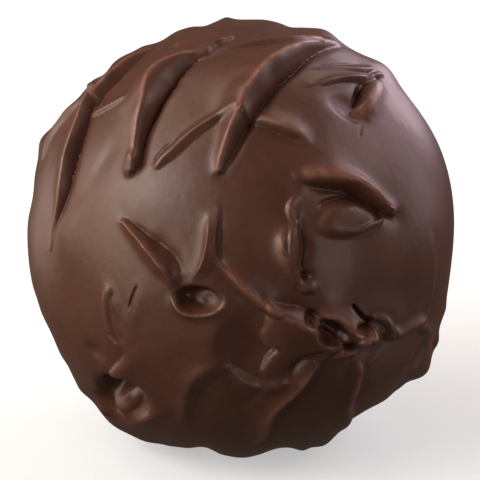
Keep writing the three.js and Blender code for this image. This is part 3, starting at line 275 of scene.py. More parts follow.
        (-0.29, -9.46, 0.3, 0.4, 0.24), (-0.96, -8.97, 0.08, 0.4, 0.3),
    ], hollow=0.2, lean=0, back=0.5, thin=0),
    "diagonal": dict(rows=[
        (1.18, -13.87, 0.2, 0.45, 0.5), (1.67, -12.34, 0.46, 0.55, 0.5),
        (2.36, -11.28, 0.58, 0.6, 0.5), (3.2, -10.5, 0.62, 0.6, 0.45), (4, -9.69, 0.6, 0.55, 0.42),
        (4.73, -8.77, 0.25, 0.45, 0.4),
    ], bow=1.2, hollow=0.2, lean=0.05, blunt=0.14, back=0.6),
    "side_crest": dict(rows=[
        (7, -13.55, 0.18, 0.5, 0.6), (7.23, -11.7, 0.38, 0.6, 0.7), (7.57, -10.46, 0.4, 0.6, 0.7),
        (7.83, -9.24, 0.36, 0.5, 0.5), (7.72, -8.46, 0.15, 0.4, 0.4),
    ], hollow=0.2, lean=0.03, blunt=0.14, back=0.5),
    "foot_ledge": dict(rows=[
        (-7.86, -12.8, 0.1, 0.4, 0.3), (-7.1, -12.57, 0.26, 0.5, 0.4), (-6.22, -12.23, 0.26, 0.5, 0.5),
        (-5.19, -11.87, 0.06, 0.5, 0.5),
    ], bow=1.4, hollow=0.1, lean=0, blunt=0.18, back=0.4, thin=0),
}

# Narrow grooves: line on the show face, depth, width.
SHOW_GROOVES = {
    "thin_groove": dict(
        line=[(-5.99, 4.87), (-5.66, 5.54), (-4.99, 6.21), (-4.11, 6.94)],
        depth=0.12, width=0.12),
    "strap_crease": dict(line=[(8.32, 8.09), (8.07, 7.31), (7.99, 6.76)], depth=0.05, width=0.14),
    "shoulder_line": dict(line=[(4.74, 11.71), (6.3, 11.84), (8.21, 11.9)], depth=0.14, width=0.12),
    "ear_groove": dict(
        line=[(4.97, 1.99), (5.81, 2.47), (6.99, 2.78), (7.96, 2.79), (8.81, 2.45)],
        depth=0.34, width=0.2),
    "hook_thin": dict(
        line=[(7.33, -4.37), (7.67, -4.78), (8.04, -5.21), (8.62, -5.7)],
        depth=0.6, width=0.12),
    "hook": dict(
        line=[(8.37, -5.47), (8.52, -5.67), (8.33, -5.93), (7.85, -6.01), (7.36, -5.71)],
        depth=1, width=0.22),
    "cross_crease": dict(
        line=[(2.92, -9.71), (3.55, -8.85), (4.25, -8.18), (5.08, -7.84), (5.83, -7.52)],
        depth=0.4, width=0.3),
    "v_line": dict(
        line=[(-6.96, -3.07), (-7.23, -3.6), (-7.51, -4.35), (-7.64, -5.09)],
        depth=0.15, width=0.09),
    "foot_gap": dict(
        line=[(-9.91, -10.41), (-9.46, -11.13), (-8.76, -11.78), (-7.94, -12.25)],
        depth=0.8, width=0.5),
    "v_foot_line": dict(line=[(-9.2, -6.35), (-8.84, -6.82), (-8.38, -7.31)], depth=0.12, width=0.12),
    "lip_line": dict(line=[(2.96, 0.63), (2.86, -0.48), (2.93, -1.59)], depth=0.12, width=0.14),
    "side_valley": dict(
        line=[(-7.57, 7.65), (-9.58, 4.91), (-11.04, 2.41), (-12.31, 0.1)],
        depth=0.12, width=0.7),
}

# Round bumps and pits: place on the show face, height, half-widths, turn, edge steepness.
SHOW_LUMPS = {
    "knob": dict(at=(-10.33, 10.41), height=0.45, widths=(0.42, 0.42)),
    "blade_tip": dict(at=(-7.49, 4.89), height=0.28, widths=(0.55, 0.85), turn=-8, edge=5),
    "strap_pit": dict(at=(8.05, 9.77), height=-0.6, widths=(0.34, 1), turn=-8, edge=4),
    "pocket": dict(at=(-2.9, -4.18), height=-1.3, widths=(1.5, 0.82), turn=-3, edge=6),
    "pocket_glint": dict(at=(-2.01, -4.49), height=0.6, widths=(0.7, 0.55), turn=10),
    "curl_pocket": dict(at=(6.04, -6.3), height=-1.45, widths=(1.15, 0.88), turn=-40, edge=5),
    "gap_pit": dict(at=(4.62, -5.4), height=-0.7, widths=(0.52, 0.5), turn=20, edge=4),
    "lip_pit": dict(at=(4.31, -2.54), height=-0.45, widths=(0.32, 0.22)),
    "foot_pit": dict(at=(-8.22, -10.96), height=-2.1, widths=(1.7, 2), turn=-40, edge=5),
    "foot_ball": dict(at=(-7.95, -11.54), height=1.45, widths=(0.75, 1.4), turn=-40, edge=3),
    "foot_rim_spot": dict(at=(-9.31, -11.78), height=0.35, widths=(0.5, 0.4), turn=-40),
    "side_dent": dict(at=(-9.95, -7.84), height=-0.3, widths=(0.8, 0.6), turn=-20),
    "bowl": dict(at=(0.18, -7.39), height=-0.5, widths=(1.7, 2.3), edge=3),
    "curl_tip": dict(at=(8.54, -6.16), height=0.3, widths=(0.32, 0.28)),
    "tongue": dict(at=(7.27, 1.25), height=0.42, widths=(2.3, 1.1), turn=14, edge=7),
    "tab": dict(at=(4.42, -3.33), height=0.34, widths=(0.66, 0.42), turn=-8, edge=5),
    "skirt_knob": dict(at=(13.47, -7.16), height=0.45, widths=(0.6, 0.6), turn=-50),
    "skirt_dent": dict(at=(12.15, -8.17), height=-0.4, widths=(0.9, 1.3), turn=-40, edge=3),
    "skirt_patch": dict(at=(8.79, -8.37), height=0.16, widths=(0.7, 0.4), turn=15),
    "peak_top": dict(at=(7.85, -8.8), height=0.3, widths=(0.3, 0.55)),
    "roof_pit": dict(at=(-4.71, 13.29), height=-0.3, widths=(0.5, 0.35), turn=60),
    "shoulder_dip": dict(at=(7.34, 8.89), height=-0.5, widths=(1.45, 1), turn=-12, edge=3),
    "bowl_spot": dict(at=(2.55, -9.76), height=0.22, widths=(0.5, 0.3)),
}

# Unevenness of the rim round the show face: degrees round, height, width.
RIM_LUMPS = [
    (0, -0.32, 4.2), (50, 0.42, 1.4), (68, 0.43, 1.2), (77, -0.15, 0.6), (84, 0.07, 0.8),
    (94, 0.22, 0.5), (100, -0.18, 0.6), (113, -0.37, 1), (120, -0.12, 0.7), (130, -0.33, 0.7),
    (136, -0.15, 0.5), (140, -0.3, 0.8), (147, -0.18, 0.5), (154, 0.42, 1), (169, -0.35, 1.3),
    (186, -0.34, 5), (197, -0.1, 0.8), (207, -0.39, 1.7), (216, -0.13, 0.7), (223.5, 0.23, 0.8),
    (236, 0.63, 2), (245, 0.35, 1.2), (251, 0.1, 0.6), (260, -0.56, 0.8), (270, 0.14, 0.9),
    (280, -0.36, 1.1), (286, 0.25, 0.5), (291.5, 0.39, 0.9), (298, -0.17, 0.7), (304, -0.55, 1.5),
    (314.5, -0.08, 0.5), (319, -0.1, 0.5), (324, 0.73, 1.2), (329, 0.07, 0.5), (332, -0.17, 0.7),
    (341, 0.13, 0.6), (352, -0.54, 3.2),
]
RIM_DEPTH = 3.2

# The far side has the same kind of folds, spread evenly and drawn by number.
BACK_FOLDS = 22
BACK_START, BACK_END = -0.98, -0.38
BACK_LENGTH = (5.5, 10.5)     # shortest and longest
BACK_HEIGHT = (0.45, 1.05)
BACK_SOFT = (0.5, 1.4)
BACK_WALL = (0.5, 1.4)
BACK_LEAN = 0.25              # shares of the height
BACK_HOLLOW = 0.25
BACK_BEND = 0.9               # radians, at most, from one end of a fold to the other
# Rows of such a fold: place from -1 to 1, share of its height, share of its widths.
BACK_LINE = [(-1.0, 0.15, 0.4), (-0.45, 0.85, 0.8), (0.1, 1.0, 1.0), (0.6, 0.7, 0.8), (1.0, 0.1, 0.3)]

# Lobes where the soft chocolate sagged round the back of the foot before it set.
FOOT_LOBES = 5
FOOT_LOBE_DROP = 0.86         # of the radius, below the middle
FOOT_LOBE_HEIGHT = (0.15, 0.5)
FOOT_LOBE_SIZE = (1.6, 3.0)
FOOT_LOBE_FLATNESS = 0.8      # its reach up and down, against its reach round the foot
FOOT_LOBE_STRAY = 0.5         # how far a lobe strays along, as a share of the space between lobes

# The mesh's edges in millimetres: shortest beside folds and pits, longer further from them.
SHOWN_EDGES = (0.092, 0.56)   # on the show side, beside a fold and away from it
SHOWN_GROWTH = (0.06, 0.65)   # between these distances from a fold
HIDDEN_EDGES = (0.32, 0.60)   # on the far side
HIDDEN_GROWTH = 0.5           # a millimetre
SHOW_SIDE_ENDS = -0.05        # how far round the show side reaches
START_SUBDIVISIONS = 6        # of the ball that the refining starts from
REFINING_PASSES = 5

# The coating's small unevenness. The scales are the waves in a metre.
CLOUD_SCALE = 260            # tone and gloss
GRAIN_SCALE = 1500           # specks, and the breaking up of the crest band
WAVE_SCALE = 620             # the bump's broad part
WAVE_SHARE = 2.0             # how much more of it there is than of grain
GRAIN_ROUGHNESS = 0.6
NOISE_RANGE = (0.3, 0.7)     # where nearly all of the noise lies
CREST_BREAKUP_RANGE = (0.35, 0.65)    # the grain that takes the crest band from its faintest to its full strength
CREST_BREAKUP_LEAST = 0.55
GLOSS_CHANGE = 0.04          # either way
BUMP_STRENGTH = 0.35
BUMP_HEIGHT = 0.05 * MM
CHOCOLATE_IOR = 1.5
FLOOR_ROUGHNESS = 0.9
COLOUR_MIX_INPUTS = (0, 6, 7)  # a mix node's amount and its two colours
COLOUR_MIX_OUTPUT = 2


# ---------------------------------------------------------------- small helpers
def unit(vectors):
    return vectors / np.linalg.norm(vectors, axis=-1, keepdims=True)


def to_frame(across, up, out):
    """A place seen on the show face, in the object's own axes."""
    c, s = math.cos(FACE_LEAN), math.sin(FACE_LEAN)
    return np.stack([across, up * s - out * c, up * c + out * s], axis=-1)


FACE_OUT = to_frame(0.0, 0.0, 1.0)


def on_face(across, up):
    """The place on the ball that shows at (across, up) on the show face."""
    reach = math.hypot(across, up)
    if reach > BALL_RADIUS:
        across, up = across * BALL_RADIUS / reach, up * BALL_RADIUS / reach
    out = math.sqrt(max(0.0, BALL_RADIUS**2 - across**2 - up**2))
    return to_frame(across, up, out)


def chance(number, draw):
    """A repeatable draw between 0 and 1."""
    value = np.sin(number * 12.9898 + draw * 78.233) * 43758.5453
    return value - np.floor(value)


def chance_between(limits, number, draw):
    low, high = limits
    return low + (high - low) * chance(number, draw)


def spread(count):
    """Directions spread evenly over a ball."""
    k = np.arange(count)
    height = 1 - (2 * k + 1) / count
    reach = np.sqrt(1 - height**2)
    return np.stack([reach * np.cos(k * GOLDEN_TURN), reach * np.sin(k * GOLDEN_TURN), height], axis=1)


UNEVEN_WAYS = spread(6)


def unevenness(places, length, draw):
    """A smooth wavering between -1 and 1 whose waves are about this long."""
    start = 2 * math.pi * chance(np.arange(len(UNEVEN_WAYS)), draw)
    return np.sin(places @ UNEVEN_WAYS.T * (2 * math.pi / length) + start).mean(axis=1)


def gentle_step(edge, value):
    t = np.clip(value / max(edge, 1e-6), 0, 1)
    return t * t * (3 - 2 * t)


# ---------------------------------------------------------------- lines on the ball
def through_rows(rows, steps):
    """Smooth rows of numbers that run through the given rows."""
    rows = np.asarray(rows, float)
    ends = np.vstack([2 * rows[0] - rows[1], rows, 2 * rows[-1] - rows[-2]])
    result = []
    for k in range(steps + 1):
        x = k / steps * (len(rows) - 1)
        i = min(int(x), len(rows) - 2)
        t = x - i
        a, b, c, d = ends[i:i + 4]
        result.append(0.5 * (2 * b + (c - a) * t + (2 * a - 5 * b + 4 * c - d) * t**2
                             + (3 * b - a - 3 * c + d) * t**3))
    return np.array(result)


def line_on_ball(places, measures=None):
    """A line on the ball, with the measures that change along it."""
    rows = places if measures is None else np.hstack([places, measures])
    steps = through_rows(rows, LINE_STEPS)
    line = unit(steps[:, :3]) * BALL_RADIUS
    middle = line.mean(axis=0)
    return dict(line=line, measures=np.maximum(steps[:, 3:], LEAST_MEASURE), middle=middle,
                size=np.linalg.norm(line - middle, axis=1).max())


def near_line(places, route, margin):
    """Which places lie within this margin of the line."""
    return np.nonzero(((places - route["middle"])**2).sum(axis=1) < (route["size"] + margin)**2)[0]


def beside_line(places, route):
    """Distance from the line, side of it, share along it, the way to its right and its measures."""
    line = route["line"]
    nearest = ((places[:, None, :] - line[None])**2).sum(axis=-1).argmin(axis=1)
    best = None
    for step in (-1, 0):
        i = np.clip(nearest + step, 0, len(line) - 2)
        start, run = line[i], line[i + 1] - line[i]
        t = np.clip(((places - start) * run).sum(axis=1) / (run * run).sum(axis=1), 0, 1)
        away = places - start - t[:, None] * run
        found = [np.linalg.norm(away, axis=1), away, run, i + t]
        if best is None:
            best = found
        else:
            closer = found[0] < best[0]
            best = [np.where(closer if b.ndim == 1 else closer[:, None], f, b)
                    for f, b in zip(found, best)]
    distance, away, run, place = best
    right = unit(np.cross(run, unit(places)))
    side = (away * right).sum(axis=1) / np.maximum(distance, 1e-9)
    i = np.minimum(place.astype(int), len(line) - 2)
    t = (place - i)[:, None]
    measures = route["measures"][i] * (1 - t) + route["measures"][i + 1] * t
    return distance, side, place / (len(line) - 1), right, measures


# ---------------------------------------------------------------- folds, grooves and lumps
def show_folds():
    folds = []
    for draw, values in enumerate(SHOW_FOLDS.values()):
        rows = np.array(values["rows"])
        places = np.array([on_face(across, up) for across, up in rows[:, :2]])
        folds.append({**FOLD, **values, "draw": draw, "route": line_on_ball(places, rows[:, 2:])})
    return folds


def turned(vector, axis, angle):
    return vector * math.cos(angle) + np.cross(axis, vector) * math.sin(angle)


def back_folds():
    folds = []
    for k in range(BACK_FOLDS):
        depth = BACK_START + (BACK_END - BACK_START) * (k + 0.5) / BACK_FOLDS
        reach, round_ = math.sqrt(1 - depth**2), k * GOLDEN_TURN
        out = unit(to_frame(reach * math.cos(round_), reach * math.sin(round_), depth))
        heading = turned(unit(np.cross(FACE_OUT, out)), out, 2 * math.pi * chance(k, 1))
        length = chance_between(BACK_LENGTH, k, 2)
        bend = BACK_BEND * (2 * chance(k, 3) - 1)
        height = chance_between(BACK_HEIGHT, k, 4)
        soft = chance_between(BACK_SOFT, k, 5)
        wall = chance_between(BACK_WALL, k, 6)
        places, measures = [], []
        for along, strength, width in BACK_LINE:
            way = turned(heading, out, bend * along / 2)
            places.append(unit(out * BALL_RADIUS + way * along * length / 2) * BALL_RADIUS)
            measures.append([height * strength, wall * width, soft * width])
        folds.append({**FOLD, "lean": BACK_LEAN * height, "hollow": BACK_HOLLOW, "draw": 100 + k,
                      "route": line_on_ball(np.array(places), np.array(measures))})
    return folds


def grooves():
    found = []
    for values in SHOW_GROOVES.values():
        places = np.array([on_face(*place) for place in values["line"]])
        found.append(dict(values, route=line_on_ball(places)))
    return found


def lump_at(place, height, widths, turn=0, edge=2):
    out = unit(place)
    across = unit(np.array([1.0, 0, 0]) - out * out[0])
    across = turned(across, out, math.radians(turn))
    return dict(place=out * BALL_RADIUS, height=height, widths=widths, edge=edge,
                across=across, along=np.cross(out, across))


def rim_lump(degrees, height, width):
    """A bump or dent on the rim, longer from front to back than it is wide."""
    angle = math.radians(degrees)
    place = to_frame(BALL_RADIUS * math.cos(angle), BALL_RADIUS * math.sin(angle), 0.0)
    return dict(place=place, height=height, widths=(width, RIM_DEPTH), edge=2,
                across=unit(np.cross(FACE_OUT, place)), along=FACE_OUT)


def foot_lobe(k):
    """A lobe low on the far half of the foot."""
    angle = math.pi * (k + FOOT_LOBE_STRAY * chance(k, 7)) / FOOT_LOBES
    reach = math.sqrt(1 - FOOT_LOBE_DROP**2)
    place = np.array([reach * math.cos(angle), reach * math.sin(angle), -FOOT_LOBE_DROP])
    size = chance_between(FOOT_LOBE_SIZE, k, 8)
    height = chance_between(FOOT_LOBE_HEIGHT, k, 9)
    return lump_at(place, height, (size, FOOT_LOBE_FLATNESS * size))


def lumps():
    shown = [lump_at(on_face(*v["at"]), v["height"], v["widths"], v.get("turn", 0), v.get("edge", 2))
             for v in SHOW_LUMPS.values()]
    return shown + [rim_lump(*row) for row in RIM_LUMPS] + [foot_lobe(k) for k in range(FOOT_LOBES)]


def pull_fold(fold, places, rise, shift, crest, near):
    """Raise one fold: a rounded crest, a gentle side and a steep wall with a crease at its foot."""
    route = fold["route"]
    wall_most, soft_most = route["measures"][:, 1].max(), route["measures"][:, 2].max()
    reach = max(SOFT_REACH * soft_most, wall_most + CREASE_REACH * fold["back"])
    close = near_line(places, route, reach)
    if not len(close):
        return
    distance, side, _, right, measures = beside_line(places[close], route)
    height, wall, soft = measures.T
    height = height * (1 + fold["ragged"] * unevenness(places[close], RAGGED_LENGTH, fold["draw"]))
    past = np.hypot(distance, fold["blunt"]) - fold["blunt"]
    gentle = height * np.exp(-(past / soft)**SOFT_POWER)
    crease = fold["hollow"] * height
    steep = np.where(past < wall,
                     height - (height + crease) * np.minimum(past / wall, 1)**fold["bow"],
                     -crease * np.exp(-(np.maximum(past - wall, 0) / fold["back"])**CREASE_POWER))
    on_wall = gentle_step(WALL_BLEND, side - WALL_STARTS)
    rise[close] += gentle * (1 - on_wall) + steep * on_wall
    leaning = fold["lean"] * height / route["measures"][:, 0].max()
    shift[close] += (leaning * np.exp(-(distance / CREST_HALF_WIDTH)**2))[:, None] * right
    # A band along the crest: redder where the coating is thin, and lighter as a painted highlight where
    # the crest would catch the light.
    if fold["thin"] > 0:
        thinned = np.exp(-(distance / fold["thin"])**2) * np.minimum(1, height / FULLY_THIN_AND_HIGHLIT)
        crest[close] = np.maximum(crest[close], thinned)
    to_crease = np.where(side > 0, abs(distance - wall) + CREASE_MARGIN, FAR_OFF)
    near[close] = np.minimum(near[close], np.minimum(distance, to_crease))


def press_groove(groove, places, rise, near):
    close = near_line(places, groove["route"], GROOVE_REACH * groove["width"])
    if not len(close):
        return
    distance, _, share, _, _ = beside_line(places[close], groove["route"])
    ends = gentle_step(GROOVE_ENDS, share) * gentle_step(GROOVE_ENDS, 1 - share)
    rise[close] -= groove["depth"] * ends * np.exp(-(distance / groove["width"])**2)
    near[close] = np.minimum(near[close], distance)


def add_lump(lump, places, rise, near):
    away = places - lump["place"]
    ring = np.hypot(away @ lump["across"] / lump["widths"][0], away @ lump["along"] / lump["widths"][1])
    close = (ring < LUMP_REACH) & ((away**2).sum(axis=1) < BALL_RADIUS**2)
    rise[close] += lump["height"] * np.exp(-ring[close]**lump["edge"])
    margin = BUMP_MARGIN if lump["edge"] < STEEP_EDGE else PIT_MARGIN
    near[close] = np.minimum(near[close], abs(ring[close] - 1) * min(lump["widths"]) + margin)


def coated(directions, parts):
    """The coating's surface in these directions, how much of it is crest, and how near a fold runs."""
    places = directions * BALL_RADIUS
    rise = sum(height * unevenness(places, length, draw) for height, length, draw in SWELLS)
    shift, crest, near = np.zeros_like(places), np.zeros(len(places)), np.full(len(places), FAR_OFF)
    for fold in parts["folds"]:
        pull_fold(fold, places, rise, shift, crest, near)
    for groove in parts["grooves"]:
        press_groove(groove, places, rise, near)
    for lump in parts["lumps"]:
        add_lump(lump, places, rise, near)
    surface = directions * (BALL_RADIUS + rise)[:, None] + shift
    return places + (surface - places) * parts["strength"], crest, near


# ---------------------------------------------------------------- mesh steps
def active_piece(name):
    piece = bpy.context.object
    piece.name = piece.data.name = name
    return piece


def vertex_places(mesh):
    places = np.empty(len(mesh.vertices) * 3)
    mesh.vertices.foreach_get("co", places)
    return places.reshape(-1, 3)


def select_edges(mesh, chosen):
    mesh.vertices.foreach_set("select", np.zeros(len(mesh.vertices), bool))
    mesh.polygons.foreach_set("select", np.zeros(len(mesh.polygons), bool))
    mesh.edges.foreach_set("select", chosen)


def wanted_edge(near, front, longest_edge):
    """Longest edge allowed: short beside folds and pits, longer on smooth coating and at the back."""
    shown = np.interp(near, SHOWN_GROWTH, SHOWN_EDGES) * longest_edge
    hidden = np.minimum(HIDDEN_EDGES[1], HIDDEN_EDGES[0] + HIDDEN_GROWTH * near)
    return np.where(front > SHOW_SIDE_ENDS, shown, hidden)


def refine(piece, parts, longest_edge):
    """Split the edges that are too long for the folds they carry."""
    bpy.context.tool_settings.mesh_select_mode = (False, True, False)
    for _ in range(REFINING_PASSES):
        mesh = piece.data
        directions = unit(vertex_places(mesh))
        surface, _, near = coated(directions, parts)
        ends = np.empty(len(mesh.edges) * 2, np.int32)
        mesh.edges.foreach_get("vertices", ends)
        a, b = ends.reshape(-1, 2).T
        length = np.linalg.norm(surface[a] - surface[b], axis=1)
        front = directions @ FACE_OUT
        nearer, more_front = np.minimum(near[a], near[b]), np.maximum(front[a], front[b])
        allowed = wanted_edge(nearer, more_front, longest_edge)
        select_edges(mesh, length > allowed)
        bpy.ops.object.mode_set(mode="EDIT")
        bpy.ops.mesh.subdivide(number_cuts=1, ngon=False)
        bpy.ops.mesh.select_all(action="SELECT")
        bpy.ops.mesh.quads_convert_to_tris(quad_method="SHORTEST_DIAGONAL", ngon_method="BEAUTY")
        bpy.ops.object.mode_set(mode="OBJECT")


def fit_to_box(places, low, high):
    """Stretch places by the little it takes to fill the box."""
    least, most = places.min(axis=0), places.max(axis=0)
    return np.array(low) + (places - least) * (np.array(high) - np.array(low)) / (most - least)


# ---------------------------------------------------------------- material steps
def add_node(tree, kind, at, **sockets):
    node = tree.nodes.new(kind)
    node.location = at
    for name, value in sockets.items():
        node.inputs[name.replace("_", " ")].default_value = value
    return node


def add_noise(tree, at, scale, detail, roughness=0.5):
    noise = add_node(tree, "ShaderNodeTexNoise", at, Scale=scale, Detail=detail, Roughness=roughness)
    tree.links.new(tree.nodes["Place"].outputs["Object"], noise.inputs["Vector"])
    return noise.outputs["Fac"]


def add_range(tree, at, value, given, wanted):
    """Stretch a value from the given range to the wanted one."""
    node = add_node(tree, "ShaderNodeMapRange", at, From_Min=given[0], From_Max=given[1],
                    To_Min=wanted[0], To_Max=wanted[1])
    tree.links.new(value, node.inputs["Value"])
    return node.outputs["Result"]


def add_maths(tree, at, operation, first, second):
    node = tree.nodes.new("ShaderNodeMath")
    node.location, node.operation = at, operation
    for socket, value in zip(node.inputs, (first, second)):
        if isinstance(value, (int, float)):
            socket.default_value = value
        else:
            tree.links.new(value, socket)
    return node.outputs[0]


def add_colour_mix(tree, at, amount, first, second, blend="MIX"):
    node = tree.nodes.new("ShaderNodeMix")
    node.location, node.data_type, node.blend_type = at, "RGBA", blend
    for number, value in zip(COLOUR_MIX_INPUTS, (amount, first, second)):
        socket = node.inputs[number]
        if isinstance(value, (int, float)):
            socket.default_value = value
        elif isinstance(value, (tuple, list)):
            socket.default_value = (*value, 1)[:4]
        else:
            tree.links.new(value, socket)
    return node.outputs[COLOUR_MIX_OUTPUT]


def chocolate_coating(settings):
    """Dark couverture: a satin skin, faintly mottled, redder and thinner along the crests, where a
    painted highlight also lightens it.
    """
    material = bpy.data.materials.new("dark chocolate coating")
    material.use_nodes = True
    tree = material.node_tree
    skin = tree.nodes["Principled BSDF"]
    place = add_node(tree, "ShaderNodeTexCoord", (-1400, 0))
    place.name = "Place"
    crest = add_node(tree, "ShaderNodeAttribute", (-1400, 300))
    crest.attribute_name = "crest"

    clouds = add_noise(tree, (-1200, 0), CLOUD_SCALE, detail=3)
    grain = add_noise(tree, (-1200, -250), GRAIN_SCALE, detail=4, roughness=GRAIN_ROUGHNESS)
    # The crest band: the thin coating's redder colour, lightened as a painted highlight, and broken up by
    # the grain.
    crest_breakup = add_range(tree, (-1000, 250), grain, CREST_BREAKUP_RANGE, (CREST_BREAKUP_LEAST, 1.0))
    edge = add_maths(tree, (-800, 300), "MULTIPLY", crest.outputs["Fac"], crest_breakup)
    colour = add_colour_mix(tree, (-600, 300), edge, tuple(settings.colour), tuple(settings.crest_thin_and_highlight_colour))
    tones = (1 - settings.mottling, 1 + settings.mottling)
    light = add_range(tree, (-1000, 0), clouds, NOISE_RANGE, tones)
    specks = add_range(tree, (-1000, -120), grain, NOISE_RANGE, tones)
    shade = add_node(tree, "ShaderNodeCombineColor", (-400, 0))
    both = add_maths(tree, (-600, 0), "MULTIPLY", light, specks)
    for socket in shade.inputs[:3]:
        tree.links.new(both, socket)
    colour = add_colour_mix(tree, (-200, 300), 1.0, colour, shade.outputs[0], "MULTIPLY")
    tree.links.new(colour, skin.inputs["Base Color"])

    dullness = (settings.roughness - GLOSS_CHANGE, settings.roughness + GLOSS_CHANGE)
    gloss = add_range(tree, (-1000, -350), clouds, NOISE_RANGE, dullness)
    tree.links.new(gloss, skin.inputs["Roughness"])
    skin.inputs["IOR"].default_value = CHOCOLATE_IOR

    bump = add_node(tree, "ShaderNodeBump", (-200, -400), Strength=BUMP_STRENGTH, Distance=BUMP_HEIGHT)
    waves = add_noise(tree, (-1200, -500), WAVE_SCALE, detail=3)
    strong_waves = add_maths(tree, (-800, -450), "MULTIPLY", waves, WAVE_SHARE)
    height = add_maths(tree, (-600, -450), "ADD", strong_waves, grain)
    tree.links.new(height, bump.inputs["Height"])
    tree.links.new(bump.outputs["Normal"], skin.inputs["Normal"])
    return material


def white_floor(settings):
    material = bpy.data.materials.new("white sweep")
    material.use_nodes = True
    board = material.node_tree.nodes["Principled BSDF"]
    board.inputs["Base Color"].default_value = (*settings.floor_colour, 1)
    board.inputs["Roughness"].default_value = FLOOR_ROUGHNESS
    board.inputs["Specular IOR Level"].default_value = 0.0
    board.inputs["Emission Color"].default_value = (1, 1, 1, 1)
    board.inputs["Emission Strength"].default_value = settings.floor_glow
    return material


# ---------------------------------------------------------------- stage steps
# Soft square panels round the truffle. Each row: the way to it as seen from the show face
# (across, up, out), its power in watts and its colour.
PANEL_AWAY = 420 * MM
PANEL_WIDTH = 180 * MM
PANELS = [
    ((0.7, -0.12, 0.71), 0.173, (1, 0.838, 0.819)),
    ((-0.61, 0.35, 0.71), 0.39, (1, 0.93, 0.86)),
    ((-0.7, -0.12, 0.71), 0.156, (1, 1, 0.78)),
    ((0.78, 0.45, 0.42), 0.122, (1, 0.769, 0.6)),
    ((-0.45, 0.78, 0.42), 0.13, (1, 0.769, 0.637)),
    ((-0.78, 0.45, 0.42), 0.73, (1, 0.89, 0.84)),
    ((-0.91, 0, 0.42), 0.36, (1, 0.815, 0.636)),
    ((0.99, 0.14, 0.07), 0.048, (1, 0.798, 0.622)),
    ((0.8, 0.6, 0.07), 0.261, (1, 0.769, 0.792)),
    ((-0.09, 0.99, 0.07), 0.058, (1, 0.769, 0.6)),
    ((-0.56, 0.83, 0.07), 0.274, (1, 0.769, 0.6)),
    ((-0.89, 0.45, 0.07), 0.198, (1, 0.769, 0.6)),
    ((-0.99, 0.14, 0.07), 0.208, (1, 0.769, 0.6)),
    ((0.89, 0.29, -0.34), 0.198, (1, 0.769, 0.862)),
    ((0.66, 0.66, -0.34), 0.208, (1, 0.769, 0.875)),
    ((0.29, 0.89, -0.34), 0.186, (1, 0.769, 0.6)),
    ((-0.88, 0.32, -0.34), 0.198, (1, 0.769, 0.689)),
    ((0.49, 0.49, -0.72), 0.374, (1, 0.784, 0.901)),
    ((-0.8, 0.08, -0.6), 0.166, (1, 0.78, 0.68)),
    ((-0.82, -0.38, 0.42), 0.135, (1, 0.8, 0.66)),
    ((0.82, -0.57, -0.07), 0.062, (1, 0.93, 0.93)),
]
ROOM_COLOUR = (1, 0.7692, 0.61)
ROOM_STRENGTH = 0.118
CAMERA_AWAY = 350 * MM
CAMERA_SENSOR = 36.0
CAMERA_SEES = (0.01, 10)     # from how near to how far, in metres
FRAME_WIDTH = 33.6 * MM      # what the picture spans at the truffle's middle
FRAME_SHIFT = (-0.0048, -0.0052)  # across and up, as shares of the picture's width
MIDDLE = Vector((0, 0, FOOT_DROP * MM))


def aim(thing, place, target):
    thing.location = place
    thing.rotation_euler = (target - place).to_track_quat("-Z", "Y").to_euler()


def add_panel(name, way, power, colour):
    place = MIDDLE + Vector(to_frame(*unit(np.array(way)))) * PANEL_AWAY
    bpy.ops.object.light_add(type="AREA", location=place)
    panel = bpy.context.object
    panel.name = panel.data.name = name
    panel.data.shape = "SQUARE"
    panel.data.size = PANEL_WIDTH
    panel.data.energy, panel.data.color = power, colour
    aim(panel, place, MIDDLE)


def add_room(strength):
    world = bpy.data.worlds.new("room")
    bpy.context.scene.world = world
    world.use_nodes = True
    room = world.node_tree.nodes["Background"]
    room.inputs["Color"].default_value = (*ROOM_COLOUR, 1)
    room.inputs["Strength"].default_value = ROOM_STRENGTH * strength


def add_camera():
    place = MIDDLE + Vector(FACE_OUT) * CAMERA_AWAY
    bpy.ops.object.camera_add(location=place)
    camera = bpy.context.object
    aim(camera, place, MIDDLE)
    camera.data.sensor_width = CAMERA_SENSOR
    camera.data.lens = CAMERA_SENSOR * CAMERA_AWAY / FRAME_WIDTH
    camera.data.shift_x, camera.data.shift_y = FRAME_SHIFT
    camera.data.clip_start, camera.data.clip_end = CAMERA_SEES
    bpy.context.scene.camera = camera


# ---------------------------------------------------------------- settings
class TruffleSettings(bpy.types.PropertyGroup):
    width: bpy.props.FloatProperty(
        name="Width", description="Width of the truffle across its show face",
        default=CAD_BOX[1][0] - CAD_BOX[0][0], min=0.005, unit="LENGTH")
    fold_strength: bpy.props.FloatProperty(
        name="Fold strength", description="How far the folds stand up, against the usual",
        default=1.0, min=0.0, max=1.5, subtype="FACTOR")
    longest_edge: bpy.props.FloatProperty(
        name="Longest edge", description="Length of the mesh's edges, against the usual",
        default=1.0, min=0.9, max=4.0)
    colour: bpy.props.FloatVectorProperty(
        name="Chocolate", description="Colour of the coating", default=(0.081, 0.033, 0.022),
        min=0, max=1, subtype="COLOR")
    # The crest band's colour: the thin coating's redder brown, lightened as a painted highlight.
    crest_thin_and_highlight_colour: bpy.props.FloatVectorProperty(
        name="Crests", description="Colour of the coating where it is thin along the crests",
        default=(0.22, 0.097, 0.069), min=0, max=1, subtype="COLOR")
    roughness: bpy.props.FloatProperty(
        name="Roughness", description="How dull the coating is",
        default=0.37, min=0.05, max=1, subtype="FACTOR")
    mottling: bpy.props.FloatProperty(
        name="Mottling", description="How far the coating's colour wavers", default=0.09, min=0, max=0.5,
        subtype="FACTOR")


